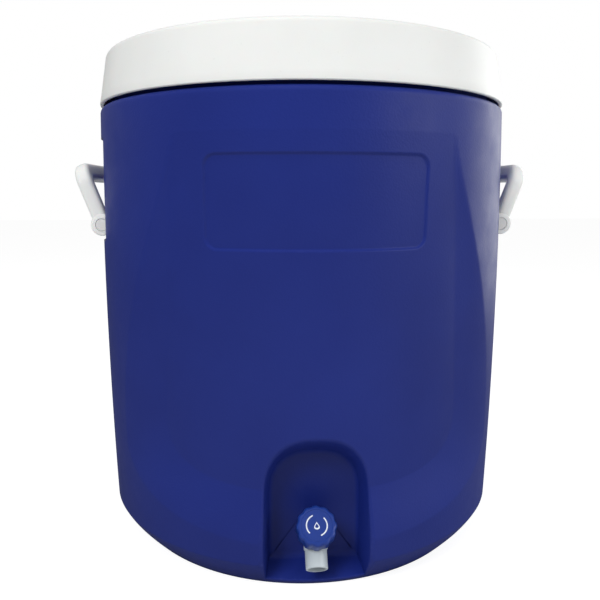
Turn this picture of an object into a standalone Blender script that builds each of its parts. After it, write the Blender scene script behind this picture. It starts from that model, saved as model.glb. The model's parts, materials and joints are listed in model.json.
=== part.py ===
"""Insulated drinks cooler with a press-on lid, two bail handles and a push-in drum tap.

Metres, +Z up, front at -Y.  The origin is at the centre of the flat base.
Every piece is a separate closed solid.  FIT is the gap kept between pieces that touch.
"""

import math

import bmesh
import bpy
from mathutils import Matrix

MM = 0.001
FIT = 0.3 * MM            # gap between pieces that touch
SEGMENTS = 48             # sides of the large round pieces
SMALL_SEGMENTS = 24       # sides of the small round pieces

# Body shell
BODY_TOP_R = 190 * MM     # radius under the shoulder
BODY_BULGE = 3.3 * MM     # how far the belly stands outside that radius
BASE_R = 170.5 * MM       # flat foot ring
CHAMFER_H = 27 * MM       # height of the tucked-in edge above the foot
CHAMFER_FLAT = 0.65       # 1 is a straight cone, 0 a full round
SHOULDER_Z = 395 * MM
SHOULDER_FILLET = 5 * MM
NECK_R = 178 * MM         # collar that the lid skirt covers
NECK_H = 23 * MM
SHELL_WALL = 4 * MM

# Front panel, a scoop that deepens downwards
PANEL_TOP_Z = 364 * MM
PANEL_OUTER_Z = 44 * MM   # lower edge of the ledge
PANEL_INNER_Z = 86 * MM   # upper edge of the ledge
PANEL_TOP_HALF = 113 * MM
PANEL_OUTER_FLARE = 78 * MM
PANEL_INNER_FLARE = 27 * MM
PANEL_DEPTH = 11 * MM
PANEL_FULL_DEPTH_Z = 120 * MM
PANEL_KNEE = 0.8          # fraction of the height where the lower corners begin
PANEL_OUTER_POWER = 2.2
PANEL_INNER_POWER = 3.0

# Bare plate recess high on the panel
PLATE_HALF = 85 * MM
PLATE_LOW_Z = 277 * MM
PLATE_HIGH_Z = 348.5 * MM
PLATE_CORNER = 10 * MM
PLATE_DEPTH = 1.6 * MM

# Tap alcove
ALCOVE_BACK_R = 150 * MM  # flat wall that the tap clamps on
ALCOVE_BACK_HALF = 38 * MM
ALCOVE_BACK_TOP_Z = 109 * MM
ALCOVE_BACK_SPRING_Z = 68 * MM
ALCOVE_BACK_FLOOR_Z = 13 * MM
ALCOVE_SIDE_DRAFT = math.radians(8)
ALCOVE_SOFFIT_SLOPE = math.radians(32)
ALCOVE_SPRING_SLOPE = math.radians(18)
ALCOVE_FLOOR_SLOPE = math.radians(16)
ALCOVE_REACH = 62 * MM    # from the back wall to outside the body
ALCOVE_ARCH_POWER = 2.6

# Side pockets and handles
POCKET_FACE_X = 174 * MM
POCKET_LOW_Z = 278 * MM
POCKET_HIGH_Z = 366 * MM
POCKET_HALF = 66 * MM
HANDLE_PIVOT_X = 185 * MM
HANDLE_PIVOT_Z = 291 * MM
HANDLE_LEAN = math.radians(20)
HANDLE_HALF = 61 * MM     # half of the bail's width along Y
HANDLE_ARM = 14 * MM      # arm width along Y
HANDLE_THICK = 14 * MM
HANDLE_RISE = 58 * MM     # pivot to the top of the grip
HANDLE_GRIP = 16 * MM     # height of the grip bar
HANDLE_TAIL = 4 * MM      # pivot to the end of the straight arm
HANDLE_CORNER = 19 * MM
HANDLE_POWER = 3             # superellipse power of the bail's section
HANDLE_AROUND = 16           # points round the section
HANDLE_SLIM = 0.3 * MM       # arm side set back from the eye's flat face
HANDLE_EYE_R = 10 * MM    # round end of each arm
LUG_R = 7.5 * MM
LUG_WIDE = 10 * MM
PIN_R = 3 * MM
PIN_HEAD_R = 5.5 * MM
PIN_HEAD_H = 2.4 * MM

# Inner liner
LINER_WALL = 3 * MM
LINER_TOP_R = 155 * MM    # inside radius at the mouth
LINER_LOW_R = 136 * MM    # inside radius at the floor
LINER_FLOOR_Z = 24 * MM   # inside floor
LINER_CORNER = 3.5 * MM

# Foam filling hole in the base
PLUG_R = 9 * MM
PLUG_FLANGE_R = 12 * MM
PLUG_FLANGE_H = 1.8 * MM
PLUG_Y = 80 * MM

# Lid
LID_GAP = 2.3 * MM        # shadow gap over the shoulder
LID_TOP_Z = 441.5 * MM
LID_TOP_R = 182.5 * MM
LID_LOW_R = 190 * MM
LID_FILLET = 5 * MM
LID_WALL = 3 * MM
LID_RIM = 16 * MM         # width of the raised rim
LID_DISH = 3 * MM
LID_PLUG_CLEAR = 3.5 * MM
LID_PLUG_Z = 402 * MM
PAN_WALL = 2.5 * MM
GASKET_H = 2 * MM
GASKET_IN_R = 160 * MM
GASKET_OUT_R = 176 * MM

# Tap: elbow centre, shank axis, and the two tilted axes through the centre
TAP_Z = 41 * MM
TAP_TILT = math.radians(45)
SHANK_Z = 38.5 * MM
SHANK_R = 8.5 * MM
SHANK_BORE_R = 4.5 * MM
SHANK_INNER_LEN = 14 * MM     # thread inside the tank
FLANGE_R = 13 * MM
FLANGE_H = 4 * MM
TAP_GASKET_R = 13 * MM
TAP_GASKET_H = 2 * MM
SPOT_R = 14 * MM
SPOT_DEPTH = 0.9 * MM
NUT_R = 12 * MM
NUT_H = 7 * MM
SLEEVE_WALL = 2.2 * MM
BALL_R = 11.5 * MM
VALVE_NECK_R = 11 * MM
VALVE_NECK_TOP = 12 * MM
CHAMBER_R = 7.3 * MM
SEAT_AT = -2.5 * MM           # valve seat, measured along the knob axis
PORT_R = 4 * MM
PORT_LOW = -8 * MM
SPOUT_R = 9 * MM
SPOUT_BORE_R = 7.25 * MM
SPOUT_LEN = 28 * MM
STEM_R = 4 * MM
STEM_DISC_R = 6.2 * MM
STEM_DISC_H = 2.7 * MM
STEM_TRAVEL = 3 * MM
WASHER_H = 2.2 * MM
ORING_H = 2 * MM
DRIVE_R = 3.2 * MM
DRIVE_TOP = 19 * MM
KNOB_R = 16.4 * MM
KNOB_LOBES = 12
KNOB_SCALLOP = 0.9 * MM
KNOB_LOW = 9.5 * MM
KNOB_TOP = 24.5 * MM
KNOB_ROUND = 1.5 * MM
# The knob's lip stands level with the belly of the body
TAP_Y = (KNOB_TOP + KNOB_R) * math.sin(TAP_TILT) - BODY_TOP_R - BODY_BULGE


def make_collection(name):
    """Return a new collection linked to the scene."""
    made = bpy.data.collections.new(name)
    bpy.context.scene.collection.children.link(made)
    return made


def clear_scene():
    """Remove every object that is already in the file."""
    for item in list(bpy.data.objects):
        bpy.data.objects.remove(item, do_unlink=True)


clear_scene()
PARTS = make_collection("beverage_dispenser")
CUTTERS = make_collection("cutters")


def make_material(name, colour, roughness, metallic=0.0):
    """Return a Principled material."""
    made = bpy.data.materials.new(name)
    made.use_nodes = True
    shader = made.node_tree.nodes["Principled BSDF"]
    shader.inputs["Base Color"].default_value = (*colour, 1.0)
    shader.inputs["Roughness"].default_value = roughness
    shader.inputs["Metallic"].default_value = metallic
    return made


BLUE = make_material("blue_polyethylene", (0.021, 0.032, 0.190), 0.42)
WHITE = make_material("white_polyethylene", (0.80, 0.80, 0.79), 0.40)
LINER_WHITE = make_material("liner_polyethylene", (0.74, 0.75, 0.76), 0.35)
FOAM = make_material("rigid_foam", (0.72, 0.62, 0.38), 0.90)
GREY_PLASTIC = make_material("tap_acetal", (0.62, 0.66, 0.67), 0.35)
KNOB_BLUE = make_material("knob_plastic", (0.020, 0.052, 0.235), 0.35)
RUBBER = make_material("seal_rubber", (0.02, 0.02, 0.022), 0.70)
PIN_WHITE = make_material("pin_nylon", (0.74, 0.74, 0.73), 0.45)


def place(item, name, material=None, collection=None):
    """Name an object, give it its material and put it in its collection."""
    item.name = name
    for old in list(item.users_collection):
        old.objects.unlink(item)
    (collection or PARTS).objects.link(item)
    if material:
        item.data.materials.clear()
        item.data.materials.append(material)
    return item


def make_cutter(item, name):
    """Keep an object as a guide that only shapes its neighbours."""
    place(item, name, collection=CUTTERS)
    item.hide_render = True
    item.display_type = "WIRE"
    return item


def mesh_object(name, bm):
    """Turn a bmesh into an object, its faces pointing out."""
    bmesh.ops.recalc_face_normals(bm, faces=bm.faces)
    mesh = bpy.data.meshes.new(name)
    bm.to_mesh(mesh)
    bm.free()
    made = bpy.data.objects.new(name, mesh)
    bpy.context.scene.collection.objects.link(made)
    return made


def smooth(item, angle=35):
    """Shade a mesh smooth, apart from edges sharper than the angle."""
    item.data.shade_smooth()
    item.data.set_sharp_from_angle(angle=math.radians(angle))
    return item


def loft(name, rings):
    """Close a stack of rings, each with the same number of points, into a solid."""
    bm = bmesh.new()
    loops = [[bm.verts.new(point) for point in ring] for ring in rings]
    count = len(loops[0])
    for low, high in zip(loops, loops[1:]):
        for i in range(count):
            j = (i + 1) % count
            bm.faces.new((low[i], low[j], high[j], high[i]))
    bm.faces.new(loops[0])
    bm.faces.new(loops[-1])
    return mesh_object(name, bm)


def turned(name, profile, segments=SEGMENTS):
    """Turn a closed profile of (radius, height) points, given down its outer side first, about Z."""
    mesh = bpy.data.meshes.new(name)
    points = [(radius, 0, height) for radius, height in profile]
    on_axis = profile[0][0] < MM / 100 and profile[-1][0] < MM / 100
    edges = [(i, i + 1) for i in range(len(points) - 1)]
    if not on_axis:
        edges.append((len(points) - 1, 0))
    mesh.from_pydata(points, edges, [])
    made = bpy.data.objects.new(name, mesh)
    bpy.context.scene.collection.objects.link(made)
    screw = made.modifiers.new("turn", "SCREW")
    screw.axis = "Z"
    screw.steps = segments
    screw.render_steps = segments
    screw.use_merge_vertices = True
    screw.merge_threshold = MM / 100
    screw.use_smooth_shade = True
    return made


def tip(item, y, z, angle, x=0.0):
    """Place an object and turn its local +Z about X by the angle."""
    item.location = (x, y, z)
    item.rotation_euler = (angle, 0, 0)
    return item


def cylinder(name, radius, start, end, segments=SMALL_SEGMENTS):
    """Make a cylinder on local Z between two heights."""
    bpy.ops.mesh.primitive_cylinder_add(vertices=segments, radius=radius, depth=end - start)
    made = bpy.context.object
    made.data.transform(Matrix.Translation((0, 0, (start + end) / 2)))
    made.name = name
    return made


def box(name, low, high):
    """Make a box between two corners."""
    bpy.ops.mesh.primitive_cube_add(size=1)
    made = bpy.context.object
    size = [b - a for a, b in zip(low, high)]
    middle = [(a + b) / 2 for a, b in zip(low, high)]
    made.data.transform(Matrix.Translation(middle) @ Matrix.Diagonal((*size, 1)))
    made.name = name
    return made


def combine(item, operation, other):
    """Add a Boolean modifier."""
    modifier = item.modifiers.new(other.name, "BOOLEAN")
    modifier.operation = operation
    modifier.object = other
    return item


def cut(item, other):
    """Cut one object from another."""
    return combine(item, "DIFFERENCE", other)


def join(item, other):
    """Join one object to another."""
    return combine(item, "UNION", other)


def outline_solid(name, loops, half_depth):
    """Extrude flat closed outlines, the first one outside and the rest holes, into a mesh."""
    curve = bpy.data.curves.new(name, "CURVE")
    curve.dimensions = "2D"
    curve.fill_mode = "BOTH"
    curve.extrude = half_depth
    for loop in loops:
        spline = curve.splines.new("POLY")
        spline.points.add(len(loop) - 1)
        for point, (x, y) in zip(spline.points, loop):
            point.co = (x, y, 0, 1)
        spline.use_cyclic_u = True
    source = bpy.data.objects.new(name + "_outline", curve)
    bpy.context.scene.collection.objects.link(source)
    bpy.context.view_layer.update()
    evaluated = source.evaluated_get(bpy.context.evaluated_depsgraph_get())
    mesh = bpy.data.meshes.new_from_object(evaluated)
    bm = bmesh.new()
    bm.from_mesh(mesh)
    bmesh.ops.remove_doubles(bm, verts=bm.verts, dist=MM / 1000)
    bm.to_mesh(mesh)
    bm.free()
    made = bpy.data.objects.new(name, mesh)
    bpy.context.scene.collection.objects.link(made)
    made.matrix_world = source.matrix_world
    bpy.data.objects.remove(source, do_unlink=True)
    return made


def arc(cx, cy, radius, start, end, steps):
    """Points of an arc in degrees, ends included."""
    angles = [math.radians(start + (end - start) * i / steps) for i in range(steps + 1)]
    return [(cx + radius * math.cos(a), cy + radius * math.sin(a)) for a in angles]


# ---------------------------------------------------------------- body form

def side_radius(z):
    """Radius of the turned body, before the panel, at a height."""
    if z < CHAMFER_H:
        share = max(z, 0) / CHAMFER_H
        rise = CHAMFER_FLAT * share + (1 - CHAMFER_FLAT) * math.sin(math.pi / 2 * share)
        return BASE_R + (side_radius(CHAMFER_H) - BASE_R) * rise
    t = min(z / SHOULDER_Z, 1)
    radius = BODY_TOP_R + 4 * BODY_BULGE * t * (1 - t)
    over = z - (SHOULDER_Z - SHOULDER_FILLET)
    if over > 0:
        drop = math.sqrt(max(SHOULDER_FILLET ** 2 - over ** 2, 0))
        radius -= SHOULDER_FILLET - drop
    return radius


def panel_half(z, blend):
    """Half width of the panel outline at a height; blend runs from 0, outside, to 1, inside."""
    low = PANEL_OUTER_Z + (PANEL_INNER_Z - PANEL_OUTER_Z) * blend
    down = (PANEL_TOP_Z - z) / (PANEL_TOP_Z - low)
    if not 0 <= down < 1:
        return 0.0
    along = min(down / PANEL_KNEE, 1)
    outer = PANEL_OUTER_FLARE * math.sin(math.pi / 2 * along) ** 1.25
    inner = PANEL_INNER_FLARE * along ** 0.9
    half = PANEL_TOP_HALF + outer + (inner - outer) * blend
    if down > PANEL_KNEE:
        power = PANEL_OUTER_POWER + (PANEL_INNER_POWER - PANEL_OUTER_POWER) * blend
        corner = (down - PANEL_KNEE) / (1 - PANEL_KNEE)
        half *= (1 - corner ** power) ** (1 / power)
    return half


def panel_depth(angle, z):
    """How far the panel is sunk below the turned body."""
    across = abs(angle) * BODY_TOP_R
    if across >= panel_half(z, 0):
        return 0.0
    low, high = 0.0, 1.0
    if across < panel_half(z, 1):
        low = 1.0
    else:
        for _ in range(20):
            middle = (low + high) / 2
            if across < panel_half(z, middle):
                low = middle
            else:
                high = middle
    full = min((PANEL_TOP_Z - z) / (PANEL_TOP_Z - PANEL_FULL_DEPTH_Z), 1)
    return PANEL_DEPTH * math.sin(math.pi / 2 * full) * low


def body_ring(z, inset, neck=False):
    """Points of one level of the body, inset from its outside."""
    ring = []
    for i in range(SEGMENTS):
        angle = 2 * math.pi * i / SEGMENTS - math.pi
        radius = NECK_R - inset if neck else side_radius(z) - panel_depth(angle, z) - inset
        ring.append((radius * math.sin(angle), -radius * math.cos(angle), z))
    return ring


OUTER_LEVELS = [z * MM for z in (0, 4, 10, 18, 27, 36, 44, 56, 66, 76, 87, 98, 112, 135, 165,
                                 200, 240, 280, 320, 350, 364, 390, 392.5, 394.3)]
INNER_LEVELS = [z * MM for z in (4, 12, 27, 44, 60, 76, 90, 112, 150, 200, 260, 320, 364)]


def body_form(name, inset, lift, levels):
    """The body as a solid, inset all round, from its floor to its neck."""
    shelf = SHOULDER_Z - lift
    heights = [lift] + [z for z in levels if lift + MM / 2 < z < shelf - MM / 2] + [shelf]
    rings = [body_ring(z, inset) for z in heights]
    rings.append(body_ring(shelf, inset, neck=True))
    rings.append(body_ring(SHOULDER_Z + NECK_H, inset, neck=True))
    return loft(name, rings)


def alcove_section(out, grow):
    """Outline of the alcove at a distance out from its back wall, grown all round."""
    half = ALCOVE_BACK_HALF + out * math.tan(ALCOVE_SIDE_DRAFT) + grow
    top = ALCOVE_BACK_TOP_Z + out * math.tan(ALCOVE_SOFFIT_SLOPE) + grow
    spring = ALCOVE_BACK_SPRING_Z + out * math.tan(ALCOVE_SPRING_SLOPE)
    floor = ALCOVE_BACK_FLOOR_Z - out * math.tan(ALCOVE_FLOOR_SLOPE) - grow
    steps = 12
    power = 2 / ALCOVE_ARCH_POWER
    points = [(half, floor)]
    for i in range(steps + 1):
        turn = math.pi * i / steps
        side = math.copysign(abs(math.cos(turn)) ** power, math.cos(turn))
        points.append((half * side, spring + (top - spring) * max(math.sin(turn), 0) ** power))
    points.append((-half, floor))
    return [(x, -ALCOVE_BACK_R - out, z) for x, z in points]


def alcove_form(name, grow):
    """The space of the alcove as a solid, grown all round."""
    return make_cutter(loft(name, [alcove_section(-grow, grow), alcove_section(ALCOVE_REACH, grow)]),
                       name)


def pocket_form(name, side, grow):
    """The flat hollow behind a handle, grown all round."""
    near = POCKET_FACE_X - grow
    far = POCKET_FACE_X + 60 * MM
    low = (near if side > 0 else -far, -POCKET_HALF - grow, POCKET_LOW_Z - grow)
    high = (far if side > 0 else -near, POCKET_HALF + grow, POCKET_HIGH_Z + grow)
    return make_cutter(box(name, low, high), name)


def cut_hollows(item, grow):
    """Cut the alcove and both pockets from a body form."""
    tag = item.name
    cut(item, alcove_form(tag + "_alcove", grow))
    for side, word in ((-1, "left"), (1, "right")):
        cut(item, pocket_form(tag + "_pocket_" + word, side, grow))
    return item


def liner_radius(z):
    """Inside radius of the liner at a height."""
    span = SHOULDER_Z + NECK_H - LINER_FLOOR_Z
    return LINER_LOW_R + (LINER_TOP_R - LINER_LOW_R) * (z - LINER_FLOOR_Z) / span


def liner_side(offset, top):
    """Points down the liner's side and round its lower corner, offset outwards."""
    low = LINER_FLOOR_Z - offset
    radius = LINER_CORNER + offset
    centre_r = liner_radius(LINER_FLOOR_Z + LINER_CORNER) - LINER_CORNER
    points = [(liner_radius(top) + offset, top)]
    points += arc(centre_r, low + radius, radius, 0, -90, 4)
    return points


RIM_Z = SHOULDER_Z + NECK_H           # top of the shell's neck
FLANGE_LOW_Z = RIM_Z + FIT
FLANGE_TOP_Z = FLANGE_LOW_Z + LINER_WALL


def liner_profile(offset):
    """The liner as a cup profile, its outside grown by an offset."""
    inside = [(0, LINER_FLOOR_Z)] + list(reversed(liner_side(0, FLANGE_TOP_Z)))
    flange = [(NECK_R, FLANGE_TOP_Z), (NECK_R, FLANGE_LOW_Z)]
    outside = liner_side(LINER_WALL + offset, FLANGE_LOW_Z)
    return inside + flange + outside + [(0, LINER_FLOOR_Z - LINER_WALL - offset)]


# ---------------------------------------------------------------- tank pieces

def make_shell():
    """Blue outer shell with the panel, plate recess, alcove, pockets and handle lugs."""
    shell = place(body_form("outer_shell", 0, 0, OUTER_LEVELS), "outer_shell", BLUE)
    void = make_cutter(body_form("shell_void", SHELL_WALL, SHELL_WALL, INNER_LEVELS), "shell_void")
    cut_hollows(void, SHELL_WALL)
    cut(shell, void)
    cut_hollows(shell, 0)

    corners = []
    for x, z, start in ((1, 1, 0), (-1, 1, 90), (-1, -1, 180), (1, -1, 270)):
        cx = x * (PLATE_HALF - PLATE_CORNER)
        cz = (PLATE_HIGH_Z if z > 0 else PLATE_LOW_Z) - z * PLATE_CORNER
        corners += arc(cx, cz, PLATE_CORNER, start, start + 90, 4)
    front = [(x, -BODY_TOP_R - 10 * MM, z) for x, z in corners]
    back = [(x, -BODY_TOP_R / 2, z) for x, z in corners]
    plate = make_cutter(loft("plate_recess", [front, back]), "plate_recess")
    core = make_cutter(body_form("plate_floor", PLATE_DEPTH, 0, OUTER_LEVELS), "plate_floor")
    cut(plate, core)
    cut(shell, plate)

    for x_side, x_word in ((-1, "left"), (1, "right")):
        for y_side, y_word in ((-1, "front"), (1, "rear")):
            tag = x_word + "_" + y_word
            join(shell, make_lug("lug_" + tag, x_side, y_side))
            bore = cylinder("lug_bore_" + tag, PIN_R + FIT, -LUG_WIDE, LUG_WIDE)
            tip(bore, y_side * LUG_MIDDLE, HANDLE_PIVOT_Z, math.pi / 2, x_side * HANDLE_PIVOT_X)
            cut(shell, make_cutter(bore, "lug_bore_" + tag))

    hole = cylinder("shank_hole", SHANK_R + FIT, 0, 30 * MM)
    tip(hole, -ALCOVE_BACK_R - 10 * MM, SHANK_Z, -math.pi / 2)
    cut(shell, make_cutter(hole, "shank_hole"))
    fill = turned("fill_hole", plug_profile(FIT, -MM, SHELL_WALL + MM), SMALL_SEGMENTS)
    fill.location.y = PLUG_Y
    cut(shell, make_cutter(fill, "fill_hole"))
    return shell


LUG_MIDDLE = HANDLE_HALF - HANDLE_ARM - FIT - LUG_WIDE / 2


def make_lug(name, x_side, y_side):
    """One moulded ear that carries a handle arm."""
    low_y = LUG_MIDDLE - LUG_WIDE / 2
    root = POCKET_FACE_X - SHELL_WALL / 2
    section = arc(HANDLE_PIVOT_X, HANDLE_PIVOT_Z, LUG_R, 90, -90, 10)
    section += [(root, HANDLE_PIVOT_Z - LUG_R - MM), (root, HANDLE_PIVOT_Z + LUG_R + MM)]
    rings = [[(x * x_side, y * y_side, z) for x, z in section]
             for y in (low_y, low_y + LUG_WIDE)]
    return make_cutter(loft(name, rings), name)


def plug_profile(grow, low, high):
    """Stepped plug profile: a flange set into the base and a spigot through it."""
    step = PLUG_FLANGE_H + grow
    return [(0, high), (PLUG_R + grow, high), (PLUG_R + grow, step),
            (PLUG_FLANGE_R + grow, step), (PLUG_FLANGE_R + grow, low), (0, low)]


def make_plug():
    """Cap of the hole that the foam is injected through."""
    plug = turned("foam_fill_plug", plug_profile(0, FIT, SHELL_WALL), SMALL_SEGMENTS)
    plug.location.y = PLUG_Y
    return place(plug, "foam_fill_plug", WHITE)


def make_foam():
    """Rigid foam between the shell and the liner."""
    inset = SHELL_WALL + FIT
    foam = place(body_form("foam_insulation", inset, inset, INNER_LEVELS), "foam_insulation", FOAM)
    cut_hollows(foam, inset)
    profile = liner_profile(FIT)
    grown = [(0, RIM_Z + MM), (liner_radius(RIM_Z) + LINER_WALL + FIT, RIM_Z + MM)]
    grown += liner_side(LINER_WALL + FIT, RIM_Z) + [profile[-1]]
    cut(foam, make_cutter(turned("liner_space", grown), "liner_space"))
    hole = cylinder("sleeve_hole", SHANK_R + SLEEVE_WALL + 3 * FIT, 0, 40 * MM)
    tip(hole, -ALCOVE_BACK_R - 10 * MM, SHANK_Z, -math.pi / 2)
    cut(foam, make_cutter(hole, "sleeve_hole"))
    return foam


def make_liner():
    """White inner tank with a flange that lies on the neck."""
    liner = place(turned("inner_liner", liner_profile(0)), "inner_liner", LINER_WHITE)
    hole = cylinder("liner_hole", SHANK_R + FIT, 0, 60 * MM)
    tip(hole, -ALCOVE_BACK_R, SHANK_Z, -math.pi / 2)
    cut(liner, make_cutter(hole, "liner_hole"))
    for word, near, far in (("inside", LINER_IN_Y, LINER_IN_Y + 20 * MM),
                            ("outside", LINER_OUT_Y - 20 * MM, LINER_OUT_Y)):
        face = cylinder("spot_face_" + word, SPOT_R, 0, far - near)
        tip(face, near, SHANK_Z, -math.pi / 2)
        cut(liner, make_cutter(face, "spot_face_" + word))
    return liner


LINER_IN_Y = -liner_radius(SHANK_Z) + SPOT_DEPTH                  # flat seat of the inner gasket
LINER_OUT_Y = -liner_radius(SHANK_Z) - LINER_WALL + SPOT_DEPTH / 2  # flat end of the sleeve


# ---------------------------------------------------------------- lid pieces

LID_LOW_Z = SHOULDER_Z + LID_GAP
GASKET_Z = FLANGE_TOP_Z + FIT
PAN_FLANGE_Z = GASKET_Z + GASKET_H + FIT


def lid_side(z):
    """Outside radius of the lid skirt at a height."""
    share = (z - LID_LOW_Z) / (LID_TOP_Z - LID_LOW_Z)
    return LID_LOW_R + (LID_TOP_R - LID_LOW_R) * share


def make_lid_shell():
    """White outer skin of the lid with a tapered skirt and a shallow dish."""
    top_r = lid_side(LID_TOP_Z - LID_FILLET)
    outer = arc(top_r - LID_FILLET, LID_TOP_Z - LID_FILLET, LID_FILLET, 90, 0, 5)
    rim_r = top_r - LID_RIM
    dish = [(0, LID_TOP_Z - LID_DISH), (rim_r - 2 * LID_DISH, LID_TOP_Z - LID_DISH),
            (rim_r - LID_DISH, LID_TOP_Z - 0.75 * LID_DISH), (rim_r, LID_TOP_Z - 0.2 * LID_DISH),
            (rim_r + LID_DISH, LID_TOP_Z)]
    under = LID_TOP_Z - LID_DISH - LID_WALL
    inner_r = lid_side(under) - LID_WALL
    skirt = [(LID_LOW_R, LID_LOW_Z), (LID_LOW_R - LID_WALL, LID_LOW_Z), (inner_r, under), (0, under)]
    return place(turned("lid_shell", dish + outer + skirt), "lid_shell", WHITE)


PAN_OUT_R = lid_side(PAN_FLANGE_Z + PAN_WALL) - LID_WALL - FIT
PAN_PLUG_R = liner_radius(RIM_Z) - LID_PLUG_CLEAR


def make_lid_liner():
    """White pan under the lid that plugs the tank's mouth."""
    top = PAN_FLANGE_Z + PAN_WALL
    inner_r = PAN_PLUG_R - PAN_WALL
    inside = [(0, LID_PLUG_Z + PAN_WALL), (inner_r - 4 * MM, LID_PLUG_Z + PAN_WALL),
              (inner_r, LID_PLUG_Z + PAN_WALL + 4 * MM), (inner_r, top)]
    outside = [(PAN_OUT_R, top), (PAN_OUT_R, PAN_FLANGE_Z), (PAN_PLUG_R, PAN_FLANGE_Z),
               (PAN_PLUG_R, LID_PLUG_Z + 5 * MM), (PAN_PLUG_R - 5 * MM, LID_PLUG_Z), (0, LID_PLUG_Z)]
    return place(turned("lid_liner", inside + outside), "lid_liner", LINER_WHITE)


def make_lid_foam():
    """Foam disc between the lid's skin and its pan."""
    top = LID_TOP_Z - LID_DISH - LID_WALL - FIT
    step = PAN_FLANGE_Z + PAN_WALL + FIT
    low = LID_PLUG_Z + PAN_WALL + FIT
    inner_r = PAN_PLUG_R - PAN_WALL - FIT
    profile = [(0, top), (lid_side(top) - LID_WALL - 2 * FIT, top),
               (lid_side(top) - LID_WALL - 2 * FIT, step), (inner_r, step),
               (inner_r, low + 4 * MM), (inner_r - 4 * MM, low), (0, low)]
    return place(turned("lid_foam", profile), "lid_foam", FOAM)


def make_lid_gasket():
    """Flat seal between the pan's flange and the tank's mouth."""
    low, high = GASKET_Z, GASKET_Z + GASKET_H
    profile = [(GASKET_OUT_R, high), (GASKET_OUT_R, low), (GASKET_IN_R, low), (GASKET_IN_R, high)]
    return place(turned("lid_gasket", profile), "lid_gasket", RUBBER)


# ---------------------------------------------------------------- handles

def handle_spine():
    """Centre line of half the bail: local X, local Y, heading in degrees, half width."""
    side = HANDLE_HALF - HANDLE_ARM / 2
    top = HANDLE_RISE - HANDLE_GRIP / 2
    bend = HANDLE_CORNER - HANDLE_ARM / 2
    thin, wide = HANDLE_ARM / 2 - HANDLE_SLIM, HANDLE_GRIP / 2
    steps = [(side, -HANDLE_TAIL, 0, thin)]
    for i, (x, y) in enumerate(arc(side - bend, top - bend, bend, 0, 90, 6)):
        steps.append((x, y, 15 * i, thin + (wide - thin) * i / 6))
    return steps


def handle_rings():
    """Sections of the bail from one arm's end to the other."""
    spine = handle_spine()
    spine += [(-x, y, 180 - heading, half) for x, y, heading, half in reversed(spine)]
    rings = []
    for x, y, heading, half in spine:
        out = math.radians(heading)
        ring = []
        for i in range(HANDLE_AROUND):
            turn = 2 * math.pi * i / HANDLE_AROUND
            across = half * rounded_share(math.cos(turn))
            ring.append((x + across * math.cos(out), y + across * math.sin(out),
                         HANDLE_THICK / 2 * rounded_share(math.sin(turn))))
        rings.append(ring)
    return rings


def rounded_share(share):
    """Coordinate of a superellipse for a cosine or a sine."""
    return math.copysign(abs(share) ** (2 / HANDLE_POWER), share)


def make_handle(side, word):
    """White bail handle, its origin on the pivot axis."""
    name = "handle_" + word
    bail = place(loft(name, handle_rings()), name, WHITE)
    lean = side * math.sin(HANDLE_LEAN)
    rise = math.cos(HANDLE_LEAN)
    frame = Matrix(((0, lean, rise), (1, 0, 0), (0, rise, -lean)))
    bail.location = (side * HANDLE_PIVOT_X, 0, HANDLE_PIVOT_Z)
    bail.rotation_euler = frame.to_euler()
    for y_side, y_word in ((-1, "front"), (1, "rear")):
        tag = word + "_" + y_word
        eye = cylinder("eye_" + tag, HANDLE_EYE_R, -HANDLE_ARM / 2, HANDLE_ARM / 2)
        tip(eye, y_side * (HANDLE_HALF - HANDLE_ARM / 2), HANDLE_PIVOT_Z, math.pi / 2,
            side * HANDLE_PIVOT_X)
        join(bail, make_cutter(eye, "eye_" + tag))
    reach = HANDLE_HALF + 5 * MM
    hole = cylinder("pin_hole_" + word, PIN_R + FIT, -reach, reach)
    tip(hole, 0, HANDLE_PIVOT_Z, math.pi / 2, side * HANDLE_PIVOT_X)
    cut(bail, make_cutter(hole, "pin_hole_" + word))
    for y_side, y_word in ((-1, "front"), (1, "rear")):
        tag = word + "_" + y_word
        sink = cylinder("pin_sink_" + tag, PIN_HEAD_R + FIT, 0, 10 * MM)
        tip(sink, y_side * (HANDLE_HALF - PIN_HEAD_H - 2 * FIT), HANDLE_PIVOT_Z,
            -y_side * math.pi / 2, side * HANDLE_PIVOT_X)
        cut(bail, make_cutter(sink, "pin_sink_" + tag))
    return bail


def make_pin(side, word, y_side, y_word):
    """Headed pin through a handle arm into its lug."""
    name = f"handle_pin_{word}_{y_word}"
    length = HANDLE_ARM - PIN_HEAD_H + LUG_WIDE - FIT
    head, shaft = PIN_HEAD_H, -length
    profile = [(0, head), (PIN_HEAD_R, head), (PIN_HEAD_R, 0), (PIN_R, 0), (PIN_R, shaft), (0, shaft)]
    pin = place(turned(name, profile, SMALL_SEGMENTS), name, PIN_WHITE)
    return tip(pin, y_side * (HANDLE_HALF - PIN_HEAD_H - FIT), HANDLE_PIVOT_Z,
               -y_side * math.pi / 2, side * HANDLE_PIVOT_X)


# ---------------------------------------------------------------- tap

WALL_Y = -ALCOVE_BACK_R                            # flat face of the alcove's back
FLANGE_BACK_Y = WALL_Y - 2 * FIT - TAP_GASKET_H
NUT_Y = LINER_IN_Y + FIT + TAP_GASKET_H + FIT


def on_tap_axis(item):
    """Place a piece on the knob axis, its local +Z pointing out of the elbow."""
    return tip(item, TAP_Y, TAP_Z, TAP_TILT)


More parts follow.
